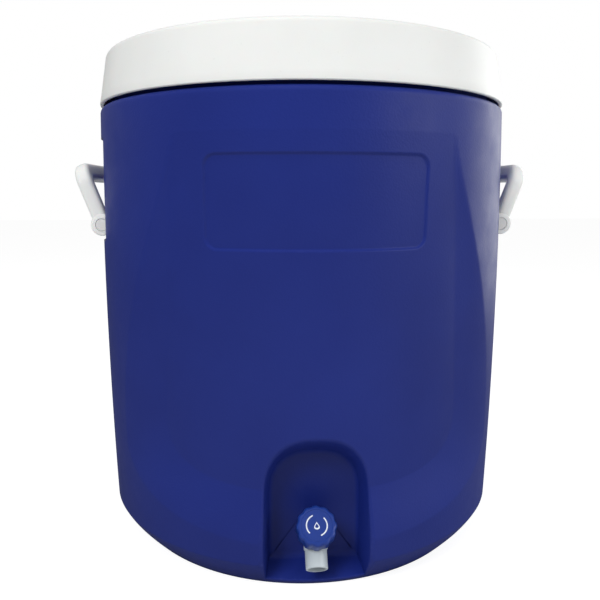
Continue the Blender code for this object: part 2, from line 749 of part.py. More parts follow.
def make_tap_body():
    """Elbow of the tap: shank, flange, valve barrel and spout in one moulding."""
    bpy.ops.mesh.primitive_uv_sphere_add(segments=SMALL_SEGMENTS + 2, ring_count=13, radius=BALL_R)
    body = on_tap_axis(place(bpy.context.object, "tap_body", GREY_PLASTIC))
    neck = on_tap_axis(cylinder("valve_neck", VALVE_NECK_R, MM, VALVE_NECK_TOP))
    spout = tip(cylinder("spout_tube", SPOUT_R, 3 * MM, SPOUT_LEN), TAP_Y, TAP_Z, math.pi - TAP_TILT)
    shank_end = NUT_Y + SHANK_INNER_LEN
    shank = cylinder("shank_tube", SHANK_R, 0, shank_end - FLANGE_BACK_Y + MM)
    tip(shank, FLANGE_BACK_Y - MM, SHANK_Z, -math.pi / 2)
    flange = cylinder("shank_flange", FLANGE_R, 0, FLANGE_H)
    tip(flange, FLANGE_BACK_Y - FLANGE_H, SHANK_Z, -math.pi / 2)
    for piece in (neck, spout, shank, flange):
        join(body, make_cutter(piece, piece.name))
    chamber = on_tap_axis(cylinder("valve_chamber", CHAMBER_R, SEAT_AT, VALVE_NECK_TOP + MM))
    port = on_tap_axis(cylinder("valve_port", PORT_R, PORT_LOW, SEAT_AT + MM))
    bore = cylinder("spout_bore", SPOUT_BORE_R, 2 * MM, SPOUT_LEN + MM)
    tip(bore, TAP_Y, TAP_Z, math.pi - TAP_TILT)
    inlet_y = TAP_Y + 6.5 * MM
    inlet = cylinder("shank_bore", SHANK_BORE_R, 0, shank_end + MM - inlet_y)
    tip(inlet, inlet_y, SHANK_Z - MM, -math.pi / 2)
    for piece in (chamber, port, bore, inlet):
        cut(body, make_cutter(piece, piece.name))
    return body


BONNET_LOW = WASHER_H + 2 * FIT + SEAT_AT + STEM_DISC_H + STEM_TRAVEL + 2 * FIT
ORING_AT = VALVE_NECK_TOP - 0.5 * MM - ORING_H


def make_tap_bonnet():
    """Ring screwed into the barrel that guides the stem and holds its seal."""
    high = VALVE_NECK_TOP - 0.2 * MM
    low = BONNET_LOW
    seat = ORING_AT - FIT
    profile = [(CHAMBER_R - FIT, high), (CHAMBER_R - FIT, low), (STEM_R + FIT, low),
               (STEM_R + FIT, seat), (STEM_R + 2 * MM + 2 * FIT, seat), (STEM_R + 2 * MM + 2 * FIT, high)]
    ring = turned("tap_bonnet", profile, SMALL_SEGMENTS)
    return on_tap_axis(place(ring, "tap_bonnet", GREY_PLASTIC))


def make_stem_seal():
    """Seal ring round the stem."""
    low, high = ORING_AT, ORING_AT + ORING_H
    inside, outside = STEM_R + FIT, STEM_R + 2 * MM + FIT
    profile = [(outside, high), (outside, low), (inside, low), (inside, high)]
    return on_tap_axis(place(turned("stem_seal", profile, SMALL_SEGMENTS), "stem_seal", RUBBER))


def make_valve_washer():
    """Soft washer that closes the seat."""
    low = SEAT_AT + FIT
    high = low + WASHER_H
    profile = [(0, high), (STEM_DISC_R, high), (STEM_DISC_R, low), (0, low)]
    return on_tap_axis(place(turned("valve_washer", profile, SMALL_SEGMENTS), "valve_washer", RUBBER))


def make_tap_stem():
    """Stem with a disc below and a six-sided drive above."""
    low = SEAT_AT + FIT + WASHER_H + FIT
    disc = low + STEM_DISC_H
    shoulder = VALVE_NECK_TOP + 2 * FIT
    profile = [(0, shoulder), (STEM_R, shoulder), (STEM_R, disc), (STEM_DISC_R, disc),
               (STEM_DISC_R, low), (0, low)]
    stem = on_tap_axis(place(turned("tap_stem", profile, SMALL_SEGMENTS), "tap_stem", GREY_PLASTIC))
    drive = on_tap_axis(cylinder("stem_drive", DRIVE_R, shoulder - MM, DRIVE_TOP, 6))
    return join(stem, make_cutter(drive, "stem_drive"))


def make_tap_knob():
    """Scalloped knob, its origin on the turning axis."""
    count = KNOB_LOBES * 6
    outline = []
    for i in range(count):
        turn = 2 * math.pi * i / count
        radius = KNOB_R - KNOB_SCALLOP * (1 - math.cos(KNOB_LOBES * turn)) / 2
        outline.append((radius * math.cos(turn), radius * math.sin(turn)))
    half = (KNOB_TOP - KNOB_LOW) / 2
    knob = outline_solid("tap_knob", [outline], half)
    knob.data.transform(Matrix.Translation((0, 0, KNOB_LOW + half)))
    on_tap_axis(place(knob, "tap_knob", KNOB_BLUE))
    cup_top = VALVE_NECK_TOP + 2 * FIT
    cup = cylinder("knob_cup", VALVE_NECK_R + FIT, KNOB_LOW - MM, cup_top)
    clear = cylinder("knob_clear", STEM_R + FIT, cup_top - MM, cup_top + STEM_TRAVEL + FIT)
    socket = cylinder("knob_socket", DRIVE_R + FIT, cup_top, DRIVE_TOP + STEM_TRAVEL + 2 * FIT, 6)
    for piece in (cup, clear, socket):
        cut(knob, make_cutter(on_tap_axis(piece), piece.name))
    return knob


def flat_ring(name, outside, inside, y, height, material, segments=SMALL_SEGMENTS):
    """Flat ring on the shank, its low face at y and the rest inwards."""
    profile = [(outside, height), (outside, 0), (inside, 0), (inside, height)]
    return tip(place(turned(name, profile, segments), name, material), y, SHANK_Z, -math.pi / 2)


def make_shank_pieces():
    """Gaskets, spacer sleeve and nut that clamp the tap through the wall."""
    hole = SHANK_R + FIT
    flat_ring("tap_outer_gasket", TAP_GASKET_R, hole, WALL_Y - FIT - TAP_GASKET_H, TAP_GASKET_H, RUBBER)
    sleeve_y = WALL_Y + SHELL_WALL + FIT
    flat_ring("tap_sleeve", hole + SLEEVE_WALL, hole, sleeve_y, LINER_OUT_Y - FIT - sleeve_y, WHITE)
    flat_ring("tap_inner_gasket", NUT_R, hole, LINER_IN_Y + FIT, TAP_GASKET_H, RUBBER)
    nut = cylinder("tap_nut", NUT_R, 0, NUT_H, 6)
    tip(place(nut, "tap_nut", GREY_PLASTIC), NUT_Y, SHANK_Z, -math.pi / 2)
    thread = cylinder("nut_thread", hole, -MM, NUT_H + MM)
    cut(nut, make_cutter(tip(thread, NUT_Y, SHANK_Z, -math.pi / 2), "nut_thread"))


# ---------------------------------------------------------------- assembly

make_shell()
make_foam()
make_liner()
make_plug()
make_lid_shell()
make_lid_liner()
make_lid_foam()
make_lid_gasket()
for x_side, x_name in ((-1, "left"), (1, "right")):
    make_handle(x_side, x_name)
    for y_side, y_name in ((-1, "front"), (1, "rear")):
        make_pin(x_side, x_name, y_side, y_name)
make_tap_body()
make_tap_bonnet()
make_stem_seal()
make_valve_washer()
make_tap_stem()
make_tap_knob()
make_shank_pieces()

for part in PARTS.objects:
    if part.name not in ("tap_nut",):
        smooth(part)
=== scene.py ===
"""Looks of the insulated drinks cooler: moulded blue shell, white lid and handles, and a small drum tap."""

import json
import math

import bmesh
import bpy
import numpy as np
from mathutils import Matrix, Vector


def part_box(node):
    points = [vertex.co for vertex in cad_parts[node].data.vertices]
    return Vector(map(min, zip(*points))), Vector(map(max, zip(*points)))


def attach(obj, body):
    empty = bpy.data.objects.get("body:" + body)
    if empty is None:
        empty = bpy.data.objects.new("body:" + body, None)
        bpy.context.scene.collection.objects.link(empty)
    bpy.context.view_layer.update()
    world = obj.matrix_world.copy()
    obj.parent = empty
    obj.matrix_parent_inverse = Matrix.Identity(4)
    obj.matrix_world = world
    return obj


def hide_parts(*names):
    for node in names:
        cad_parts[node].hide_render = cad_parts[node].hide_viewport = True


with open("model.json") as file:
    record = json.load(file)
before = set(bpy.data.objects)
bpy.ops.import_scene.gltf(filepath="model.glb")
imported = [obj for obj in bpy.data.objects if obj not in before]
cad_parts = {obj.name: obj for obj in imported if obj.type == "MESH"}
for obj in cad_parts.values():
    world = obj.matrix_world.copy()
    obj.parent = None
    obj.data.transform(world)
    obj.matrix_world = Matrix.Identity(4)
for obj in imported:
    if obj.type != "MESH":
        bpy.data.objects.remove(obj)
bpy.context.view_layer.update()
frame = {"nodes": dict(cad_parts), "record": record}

MM = 0.001
JOINTS = {joint["name"]: joint for joint in frame["record"]["behaviour"]["joints"]}
HANDLE_PIVOT = {side: Vector(JOINTS[f"handle_{side}_swing"]["pos_m"]) for side in ("left", "right")}
TAP_CENTRE = Vector(JOINTS["knob_turn"]["pos_m"])

# Body form, the same sizes as the CAD solids
TRIM = 0.1 * MM           # keeps the fine surface inside the faceted solid's box
BODY_TOP_R = 190 * MM - TRIM
BODY_BULGE = 3.3 * MM
BASE_R = 170.5 * MM
CHAMFER_H = 27 * MM
CHAMFER_FLAT = 0.65       # straight share of the chamfer, the rest curves
SHOULDER_Z = 395 * MM
SHOULDER_FILLET = 5 * MM
NECK_R = 178 * MM
NECK_TOP_Z = 418 * MM
SHELL_WALL = 4 * MM
PANEL_TOP_Z = 364 * MM
PANEL_OUTER_Z = 44 * MM
PANEL_INNER_Z = 86 * MM
PANEL_TOP_HALF = 113 * MM
PANEL_OUTER_FLARE = 78 * MM
PANEL_INNER_FLARE = 27 * MM
PANEL_DEPTH = 11 * MM
PANEL_FULL_DEPTH_Z = 120 * MM
PANEL_KNEE = 0.8          # share of the height where the bottom corners start
PANEL_OUTER_EASE = 1.25
PANEL_INNER_EASE = 0.9
PANEL_OUTER_POWER = 2.2
PANEL_INNER_POWER = 3.0
PANEL_WRAP_R = 190 * MM   # radius at which its half width is laid round the body
PANEL_CRISP = 0.8         # straight share of the sloping edge, the rest is softened
PLATE_HALF = 85 * MM
PLATE_LOW_Z = 277 * MM
PLATE_HIGH_Z = 348.5 * MM
PLATE_CORNER = 10 * MM
PLATE_DEPTH = 1.6 * MM
PLATE_EDGE = 1.8 * MM     # width of the plate recess's sloping edge
POCKET_FACE_X = 174 * MM
POCKET_LOW_Z = 278 * MM
POCKET_HIGH_Z = 366 * MM
POCKET_HALF = 66 * MM
POCKET_EDGE = 3 * MM
POCKET_CLEAR = 26 * MM    # how far the pocket plane backs off outside the pocket
POCKET_SOFT = 2.5 * MM
ALCOVE_BACK_R = 150 * MM
ALCOVE_BACK_HALF = 38 * MM
ALCOVE_BACK_TOP_Z = 109 * MM
ALCOVE_BACK_SPRING_Z = 68 * MM
ALCOVE_BACK_FLOOR_Z = 13 * MM
ALCOVE_SIDE_SLOPE = math.tan(math.radians(8))
ALCOVE_SOFFIT_SLOPE = math.tan(math.radians(32))
ALCOVE_SPRING_SLOPE = math.tan(math.radians(18))
ALCOVE_FLOOR_SLOPE = math.tan(math.radians(16))
ALCOVE_REACH = 62 * MM
ALCOVE_ARCH_POWER = 2.6
ALCOVE_GUESS = 30 * MM    # first guess of the lip's distance out from the back wall
ALCOVE_ROUNDS = 12
ALCOVE_MOUTH_R = 180 * MM
SHANK_Z = 38.5 * MM
SHANK_R = 8.5 * MM
SHANK_BORE_R = 4.5 * MM
SPOT_R = 14 * MM          # flat seat for the tap's nut inside the liner
SPOT_DEPTH = 0.9 * MM
FIT = 0.3 * MM


# ---------------------------------------------------------------- node helpers

def new_material(name, colour, roughness):
    """Return a material, its node tree and its shader, with plain values set on the shader."""
    made = bpy.data.materials.new(name)
    made.use_nodes = True
    tree = made.node_tree
    shader = tree.nodes["Principled BSDF"]
    shader.inputs["Base Color"].default_value = (*colour, 1)
    shader.inputs["Roughness"].default_value = roughness
    return made, tree, shader


def noise(tree, scale, detail=4.0, roughness=0.5):
    """Return the factor output of a noise on the object's own coordinates."""
    node = tree.nodes.new("ShaderNodeTexNoise")
    node.inputs["Scale"].default_value = scale
    node.inputs["Detail"].default_value = detail
    node.inputs["Roughness"].default_value = roughness
    coords = tree.nodes.new("ShaderNodeTexCoord").outputs["Object"]
    tree.links.new(coords, node.inputs["Vector"])
    return node.outputs["Fac"]


def remap(tree, value, low, high, to_low, to_high):
    """Map a value from one range to another, clamped."""
    node = tree.nodes.new("ShaderNodeMapRange")
    for socket, number in (("From Min", low), ("From Max", high),
                           ("To Min", to_low), ("To Max", to_high)):
        node.inputs[socket].default_value = number
    tree.links.new(value, node.inputs["Value"])
    return node.outputs["Result"]


def mix_colour(tree, factor, first, second):
    """Mix two colours by a factor; either may be a socket."""
    node = tree.nodes.new("ShaderNodeMix")
    node.data_type = "RGBA"
    tree.links.new(factor, node.inputs[0])
    for socket, value in ((node.inputs[6], first), (node.inputs[7], second)):
        if isinstance(value, tuple):
            socket.default_value = (*value, 1)
        else:
            tree.links.new(value, socket)
    return node.outputs[2]


def add_bump(tree, shader, layers):
    """Chain bumps of (height socket, strength, distance) into the shader's normal."""
    normal = None
    for height, strength, distance in layers:
        node = tree.nodes.new("ShaderNodeBump")
        node.inputs["Strength"].default_value = strength
        node.inputs["Distance"].default_value = distance
        tree.links.new(height, node.inputs["Height"])
        if normal:
            tree.links.new(normal, node.inputs["Normal"])
        normal = node.outputs["Normal"]
    tree.links.new(normal, shader.inputs["Normal"])


def grain_cells(tree, scale):
    """Return the distance output of a cell pattern, used as moulded leather grain."""
    node = tree.nodes.new("ShaderNodeTexVoronoi")
    node.feature = "SMOOTH_F1"
    node.inputs["Scale"].default_value = scale
    node.inputs["Smoothness"].default_value = 0.6
    coords = tree.nodes.new("ShaderNodeTexCoord").outputs["Object"]
    tree.links.new(coords, node.inputs["Vector"])
    return node.outputs["Distance"]


# ---------------------------------------------------------------- materials

def blue_shell_material():
    """Deep blue polyethylene with a fine moulded grain, faint clouding and scuffs on proud edges, partly a
    painted highlight.
    """
    made, tree, shader = new_material("blue_polyethylene", (0.0085, 0.020, 0.178), 0.48)
    shader.inputs["Specular IOR Level"].default_value = 0.28
    cloud = remap(tree, noise(tree, 9, 3), 0.3, 0.7, 0, 1)
    colour = mix_colour(tree, cloud, (0.0078, 0.0184, 0.166), (0.0094, 0.0222, 0.190))
    geometry = tree.nodes.new("ShaderNodeNewGeometry")
    # Lighter blue on proud edges, found by pointiness and broken up by specks: partly scuffing, partly a
    # painted highlight along the edges.
    edge = remap(tree, geometry.outputs["Pointiness"], 0.515, 0.56, 0, 1)
    speck = remap(tree, noise(tree, 260, 6, 0.65), 0.52, 0.66, 0, 1)
    scuff_and_highlight = tree.nodes.new("ShaderNodeMath")
    scuff_and_highlight.operation = "MULTIPLY"
    tree.links.new(edge, scuff_and_highlight.inputs[0])
    tree.links.new(speck, scuff_and_highlight.inputs[1])
    scuff_and_highlight_amount = remap(tree, scuff_and_highlight.outputs[0], 0, 1, 0, 0.30)
    colour = mix_colour(tree, scuff_and_highlight_amount, colour, (0.055, 0.075, 0.30))
    tree.links.new(colour, shader.inputs["Base Color"])
    rough = remap(tree, noise(tree, 40, 5, 0.6), 0.3, 0.7, 0.43, 0.53)
    tree.links.new(rough, shader.inputs["Roughness"])
    add_bump(tree, shader, [(noise(tree, 16, 2), 0.25, 0.0006),
                            (grain_cells(tree, 620), 0.30, 0.00022),
                            (noise(tree, 1500, 3), 0.18, 0.00012)])
    return made


def white_plastic_material(name, colour, roughness, grain=0.16):
    """Pale moulded plastic with a soft sheen, a little clouding and a fine grain."""
    made, tree, shader = new_material(name, colour, roughness)
    shader.inputs["Specular IOR Level"].default_value = 0.45
    shader.inputs["Subsurface Weight"].default_value = 0.06
    shader.inputs["Subsurface Scale"].default_value = 0.004
    darker = tuple(0.955 * c for c in colour)
    cloud = remap(tree, noise(tree, 14, 4), 0.35, 0.7, 0, 1)
    base = mix_colour(tree, cloud, colour, darker)
    specks = remap(tree, noise(tree, 420, 2), 0.70, 0.76, 0, 0.22)
    speckled = mix_colour(tree, specks, base, tuple(0.72 * c for c in colour))
    tree.links.new(speckled, shader.inputs["Base Color"])
    tree.links.new(remap(tree, noise(tree, 60, 4), 0.3, 0.7, roughness - 0.04, roughness + 0.05),
                   shader.inputs["Roughness"])
    add_bump(tree, shader, [(noise(tree, 22, 2), 0.20, 0.0004), (noise(tree, 900, 3), grain, 0.00015)])
    return made


def glossy_plastic_material(name, colour, roughness):
    """Small moulded tap parts: smoother, with faint flow marks."""
    made, tree, shader = new_material(name, colour, roughness)
    marks = remap(tree, noise(tree, 120, 3), 0.3, 0.7, 0, 1)
    marked = mix_colour(tree, marks, tuple(0.93 * c for c in colour), colour)
    tree.links.new(marked, shader.inputs["Base Color"])
    tree.links.new(remap(tree, noise(tree, 260, 4), 0.3, 0.7, roughness - 0.05, roughness + 0.06),
                   shader.inputs["Roughness"])
    add_bump(tree, shader, [(noise(tree, 700, 3), 0.14, 0.00010)])
    return made


def rubber_material():
    """Black seal rubber with a dusty bloom."""
    made, tree, shader = new_material("seal_rubber", (0.018, 0.018, 0.019), 0.65)
    dust = remap(tree, noise(tree, 300, 5, 0.6), 0.45, 0.75, 0, 0.5)
    dusty = mix_colour(tree, dust, (0.016, 0.016, 0.017), (0.06, 0.06, 0.06))
    tree.links.new(dusty, shader.inputs["Base Color"])
    add_bump(tree, shader, [(noise(tree, 1200, 3), 0.25, 0.00012)])
    return made


def foam_material():
    """Cream rigid foam with small cells, darker in the cell pits as painted shade."""
    made, tree, shader = new_material("rigid_foam", (0.72, 0.62, 0.38), 0.9)
    cells = grain_cells(tree, 900)
    # Darker colour in the pits of the cells, where the bump sinks: painted shade.
    depth = remap(tree, cells, 0.1, 0.7, 0, 1)
    celled = mix_colour(tree, depth, (0.60, 0.50, 0.28), (0.76, 0.67, 0.43))
    tree.links.new(celled, shader.inputs["Base Color"])
    add_bump(tree, shader, [(cells, 0.6, 0.0004)])
    return made


def print_material():
    """White ink with tiny gaps where it has worn."""
    made, tree, shader = new_material("white_ink", (0.72, 0.76, 0.82), 0.5)
    worn = remap(tree, noise(tree, 2200, 4, 0.6), 0.62, 0.72, 0, 0.5)
    inked = mix_colour(tree, worn, (0.72, 0.76, 0.82), (0.20, 0.28, 0.50))
    tree.links.new(inked, shader.inputs["Base Color"])
    add_bump(tree, shader, [(noise(tree, 2600, 3), 0.2, 0.00005)])
    return made


BLUE = blue_shell_material()
WHITE = white_plastic_material("white_polyethylene", (0.725, 0.735, 0.72), 0.44)
HANDLE_WHITE = white_plastic_material("handle_polypropylene", (0.79, 0.80, 0.785), 0.38, 0.08)
LINER_WHITE = white_plastic_material("liner_polyethylene", (0.74, 0.75, 0.76), 0.36, 0.10)
PIN_WHITE = white_plastic_material("pin_nylon", (0.72, 0.72, 0.71), 0.42, 0.10)
SPOUT_GREY = glossy_plastic_material("tap_acetal", (0.52, 0.58, 0.61), 0.34)
KNOB_BLUE = glossy_plastic_material("knob_plastic", (0.010, 0.038, 0.245), 0.36)
RUBBER = rubber_material()
FOAM = foam_material()
INK = print_material()


# ---------------------------------------------------------------- mesh helpers

def link(name, mesh, material):
    """Link a mesh as a new object with one material."""
    made = bpy.data.objects.new(name, mesh)
    bpy.context.scene.collection.objects.link(made)
    mesh.materials.clear()
    mesh.materials.append(material)
    return made


def from_rings(name, rings, material, close_start=True, close_end=True):
    """Close a stack of rings with equal numbers of points into a smooth solid."""
    count = len(rings[0])
    points = np.concatenate([np.asarray(ring, float) for ring in rings])
    index = np.arange(count)
    after = np.roll(index, -1)
    quads = [np.stack([index + i * count, after + i * count, after + (i + 1) * count,
                       index + (i + 1) * count], 1) for i in range(len(rings) - 1)]
    faces = np.concatenate(quads).tolist()
    for ring, wanted in ((0, close_start), (len(rings) - 1, close_end)):
        if wanted:
            middle = len(points)
            points = np.vstack([points, points[ring * count:(ring + 1) * count].mean(0)])
            faces += [(int(a), int(b), middle) for a, b in zip(index + ring * count, after + ring * count)]
    mesh = bpy.data.meshes.new(name)
    mesh.from_pydata(points.tolist(), [], faces)
    bm = bmesh.new()
    bm.from_mesh(mesh)
    bmesh.ops.recalc_face_normals(bm, faces=bm.faces)
    bm.to_mesh(mesh)
    bm.free()
    return link(name, mesh, material)


def ring_at(angles, radius, z):
    """Ring of points about Z at a radius and a height; angle 0 faces the front."""
    return np.stack([radius * np.sin(angles), -radius * np.cos(angles), np.full_like(angles, z)], 1)


def lathe(name, profile, material, steps=256):
    """Turn a closed profile of (radius, height), or one that ends on the axis, about Z."""
    angles = np.linspace(0, 2 * math.pi, steps, endpoint=False)
    axis_r = MM / 100
    rings = [ring_at(angles, r, z) for r, z in profile if r >= axis_r]
    if profile[0][0] < axis_r:
        made = from_rings(name, rings, material)
    else:
        made = from_rings(name, rings + [rings[0]], material, False, False)
        bm = bmesh.new()
        bm.from_mesh(made.data)
        bmesh.ops.remove_doubles(bm, verts=bm.verts, dist=MM / 1000)
        bmesh.ops.recalc_face_normals(bm, faces=bm.faces)
        bm.to_mesh(made.data)
        bm.free()
    return shade(made)


def shade(item, angle=32):
    """Shade smooth apart from sharp edges."""
    item.data.shade_smooth()
    item.data.set_sharp_from_angle(angle=math.radians(angle))
    return item


def arc(cx, cy, radius, start, end, steps):
    """Points of an arc in degrees, ends included."""
    angles = [math.radians(start + (end - start) * i / steps) for i in range(steps + 1)]
    return [(cx + radius * math.cos(a), cy + radius * math.sin(a)) for a in angles]


def rounded(points, radius, steps=4):
    """Round the inner corners of an open path of (x, y) points."""
    made = [points[0]]
    for before, here, after in zip(points, points[1:], points[2:]):
        here_v = Vector(here)
        to_before, to_after = Vector(before) - here_v, Vector(after) - here_v
        reach = min(radius, 0.45 * to_before.length, 0.45 * to_after.length)
        start = here_v + to_before.normalized() * reach
        end = here_v + to_after.normalized() * reach
        for i in range(steps + 1):
            t = i / steps
            made.append(tuple((1 - t) ** 2 * start + 2 * t * (1 - t) * here_v + t ** 2 * end))
    made.append(points[-1])
    return made


def cylinder(radius, start, end, segments=64, matrix=Matrix()):
    """Return a closed cylinder mesh object along local Z, moved by a matrix."""
    bm = bmesh.new()
    bmesh.ops.create_cone(bm, cap_ends=True, segments=segments, radius1=radius, radius2=radius,
                          depth=end - start)
    bmesh.ops.translate(bm, verts=bm.verts, vec=(0, 0, (start + end) / 2))
    bm.transform(matrix)
    mesh = bpy.data.meshes.new("tool")
    bm.to_mesh(mesh)
    bm.free()
    made = bpy.data.objects.new("tool", mesh)
    bpy.context.scene.collection.objects.link(made)
    return made


def combine(item, operation, tools):
    """Apply Boolean operations with each tool in turn and remove the tools."""
    for tool in tools:
        modifier = item.modifiers.new("combine", "BOOLEAN")
        modifier.operation = operation
        modifier.solver = "MANIFOLD"
        modifier.object = tool
        apply_modifiers(item)
        bpy.data.objects.remove(tool, do_unlink=True)
    return item


def apply_modifiers(item):
    """Replace an object's mesh by its evaluated mesh."""
    bpy.context.view_layer.update()
    evaluated = item.evaluated_get(bpy.context.evaluated_depsgraph_get())
    mesh = bpy.data.meshes.new_from_object(evaluated)
    item.modifiers.clear()
    item.data = mesh


def finish_piece(piece, body, slot, *nodes):
    """Ride a piece on its body and hide the CAD nodes it stands for; slot is not used."""
    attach(piece, body)
    if nodes:
        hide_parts(*nodes)
    return piece


# ---------------------------------------------------------------- body form

def side_radius(z):
    """Radius of the turned body at heights z, before the panel."""
    t = np.clip(z / SHOULDER_Z, 0, 1)
    radius = BODY_TOP_R + 4 * BODY_BULGE * t * (1 - t)
    edge = CHAMFER_H / SHOULDER_Z
    edge_r = BODY_TOP_R + 4 * BODY_BULGE * edge * (1 - edge)
    share = np.clip(z, 0, CHAMFER_H) / CHAMFER_H
    rise = CHAMFER_FLAT * share + (1 - CHAMFER_FLAT) * np.sin(math.pi / 2 * share)
    radius = np.where(z < CHAMFER_H, BASE_R + (edge_r - BASE_R) * rise, radius)
    over = np.clip(z - (SHOULDER_Z - SHOULDER_FILLET), 0, SHOULDER_FILLET)
    return radius - (SHOULDER_FILLET - np.sqrt(np.maximum(SHOULDER_FILLET ** 2 - over ** 2, 0)))


def panel_half(z, blend):
    """Half width of the panel outline; blend runs from 0, outside, to 1, inside."""
    low = PANEL_OUTER_Z + (PANEL_INNER_Z - PANEL_OUTER_Z) * blend
    down = (PANEL_TOP_Z - z) / (PANEL_TOP_Z - low)
    along = np.clip(down / PANEL_KNEE, 0, 1)
    outer = PANEL_OUTER_FLARE * np.sin(math.pi / 2 * along) ** PANEL_OUTER_EASE
    inner = PANEL_INNER_FLARE * along ** PANEL_INNER_EASE
    half = PANEL_TOP_HALF + outer + (inner - outer) * blend
    power = PANEL_OUTER_POWER + (PANEL_INNER_POWER - PANEL_OUTER_POWER) * blend
    corner = np.clip((down - PANEL_KNEE) / (1 - PANEL_KNEE), 0, 1)
    half = half * np.maximum(1 - corner ** power, 0) ** (1 / power)
    return np.where((down >= 0) & (down < 1), half, 0)


def panel_depth(angle, z):
    """How far the panel is sunk below the turned body."""
    across = np.abs(angle) * PANEL_WRAP_R
    low = np.zeros_like(across)
    high = np.ones_like(across)
    for _ in range(18):
        middle = (low + high) / 2
        inside = across < panel_half(z, middle)
        low = np.where(inside, middle, low)
        high = np.where(inside, high, middle)
    share = np.where(across < panel_half(z, 1), 1, np.where(across >= panel_half(z, 0), 0, low))
    slope = PANEL_CRISP * share + (1 - PANEL_CRISP) * ramp(share, 1)
    full = np.clip((PANEL_TOP_Z - z) / (PANEL_TOP_Z - PANEL_FULL_DEPTH_Z), 0, 1)
    return PANEL_DEPTH * np.sin(math.pi / 2 * full) * slope


def ramp(value, width):
    """Smooth step from 0 to 1 over a width."""
    t = np.clip(value / width, 0, 1)
    return t * t * (3 - 2 * t)


def plate_depth(x, z):
    """Depth of the shallow rounded plate recess."""
    middle = (PLATE_LOW_Z + PLATE_HIGH_Z) / 2
    dx = np.abs(x) - (PLATE_HALF - PLATE_CORNER)
    dz = np.abs(z - middle) - ((PLATE_HIGH_Z - PLATE_LOW_Z) / 2 - PLATE_CORNER)
    outside = np.hypot(np.maximum(dx, 0), np.maximum(dz, 0)) + np.minimum(np.maximum(dx, dz), 0)
    return PLATE_DEPTH * ramp(PLATE_CORNER - outside, PLATE_EDGE)


def smooth_min(a, b, width):
    """Smaller of two values, rounded where they meet."""
    h = np.maximum(width - np.abs(a - b), 0) / width
    return np.minimum(a, b) - h * h * width / 4


def body_radius(angle, z):
    """Radius of the finished body surface, without the alcove."""
    radius = side_radius(z) - panel_depth(angle, z)
    front = np.abs(angle) < math.pi / 2
    radius = radius - np.where(front, plate_depth(radius * np.sin(angle), z), 0)
    inside = ramp(z - POCKET_LOW_Z + POCKET_EDGE, POCKET_EDGE)
    inside = inside * ramp(POCKET_HIGH_Z + POCKET_EDGE - z, POCKET_EDGE)
    inside = inside * ramp(POCKET_HALF + POCKET_EDGE - np.abs(radius * np.cos(angle)), POCKET_EDGE)
    limit = (POCKET_FACE_X + POCKET_CLEAR * (1 - inside)) / np.maximum(np.abs(np.sin(angle)), 0.2)
    return smooth_min(radius, limit, POCKET_SOFT)


def spread(*stretches):
    """Join stretches of (start, end, step) into one rising list of values."""
    values = []
    for start, end, step in stretches:
        count = max(int(round((end - start) / step)), 1)
        values += [start + (end - start) * i / count for i in range(count)]
    return values + [stretches[-1][1]]


WALL_POINTS = 12
FLOOR_POINTS = 16


def alcove_outline(out, points):
    """Alcove outline as (x, z) at a distance out from its back wall."""
    half = ALCOVE_BACK_HALF + out * ALCOVE_SIDE_SLOPE
    top = ALCOVE_BACK_TOP_Z + out * ALCOVE_SOFFIT_SLOPE
    spring = ALCOVE_BACK_SPRING_Z + out * ALCOVE_SPRING_SLOPE
    floor = ALCOVE_BACK_FLOOR_Z - out * ALCOVE_FLOOR_SLOPE
    power = 2 / ALCOVE_ARCH_POWER
    turn = math.pi * points
    side = np.sign(np.cos(turn)) * np.abs(np.cos(turn)) ** power
    arch = np.stack([half * side, spring + (top - spring) * np.maximum(np.sin(turn), 0) ** power], 1)
    wall = np.linspace(0, 1, WALL_POINTS, endpoint=False)
    up = np.stack([np.full_like(wall, half), floor + (spring - floor) * wall], 1)
    down = np.stack([np.full_like(wall, -half), spring + (floor - spring) * (wall + 1 / WALL_POINTS)], 1)
    base = np.linspace(-half, half, FLOOR_POINTS, endpoint=False)[1:]
    bottom = np.stack([base, np.full_like(base, floor)], 1)
    return np.vstack([up, arch, down, bottom])


def alcove_tool():
    """Cutter of the alcove, with filleted inner corners and a softened lip that follows the surface."""
    points = np.linspace(0, 1, 49)

    def section(out, swell):
        flat = alcove_outline(out, points)
        along = np.roll(flat, -1, 0) - np.roll(flat, 1, 0)
        normal = np.stack([along[:, 1], -along[:, 0]], 1)
        normal /= np.maximum(np.linalg.norm(normal, axis=1), 1e-9)[:, None]
        return flat + normal * swell

    def ring(out, swell):
        flat = section(out, swell)
        return np.stack([flat[:, 0], np.full(len(flat), -ALCOVE_BACK_R - out), flat[:, 1]], 1)

    def lip_ring(below, swell):
        """Ring at a depth below the body surface, found by repeating from a first guess."""
        flat = section(ALCOVE_GUESS, swell)
        for _ in range(ALCOVE_ROUNDS):
            angle = np.arcsin(np.clip(flat[:, 0] / ALCOVE_MOUTH_R, -1, 1))
            surface = body_radius(angle, np.maximum(flat[:, 1], 0.5 * MM)) * np.cos(angle)
            reach = surface - below - ALCOVE_BACK_R
            flat = np.array([section(r, swell)[i] for i, r in enumerate(reach)])
        return np.stack([flat[:, 0], -ALCOVE_BACK_R - reach, flat[:, 1]], 1)

    rings = [ring(0, -5 * MM), ring(0.5 * MM, -2.6 * MM), ring(1.6 * MM, -1.0 * MM), ring(4 * MM, 0)]
    rings += [lip_ring(2.6 * MM, 0), lip_ring(1.2 * MM, 0.45 * MM), lip_ring(0.4 * MM, 1.3 * MM)]
    rings += [lip_ring(-1.0 * MM, 4.2 * MM), ring(ALCOVE_REACH, 4.2 * MM)]
    return from_rings("alcove_tool", rings, BLUE)


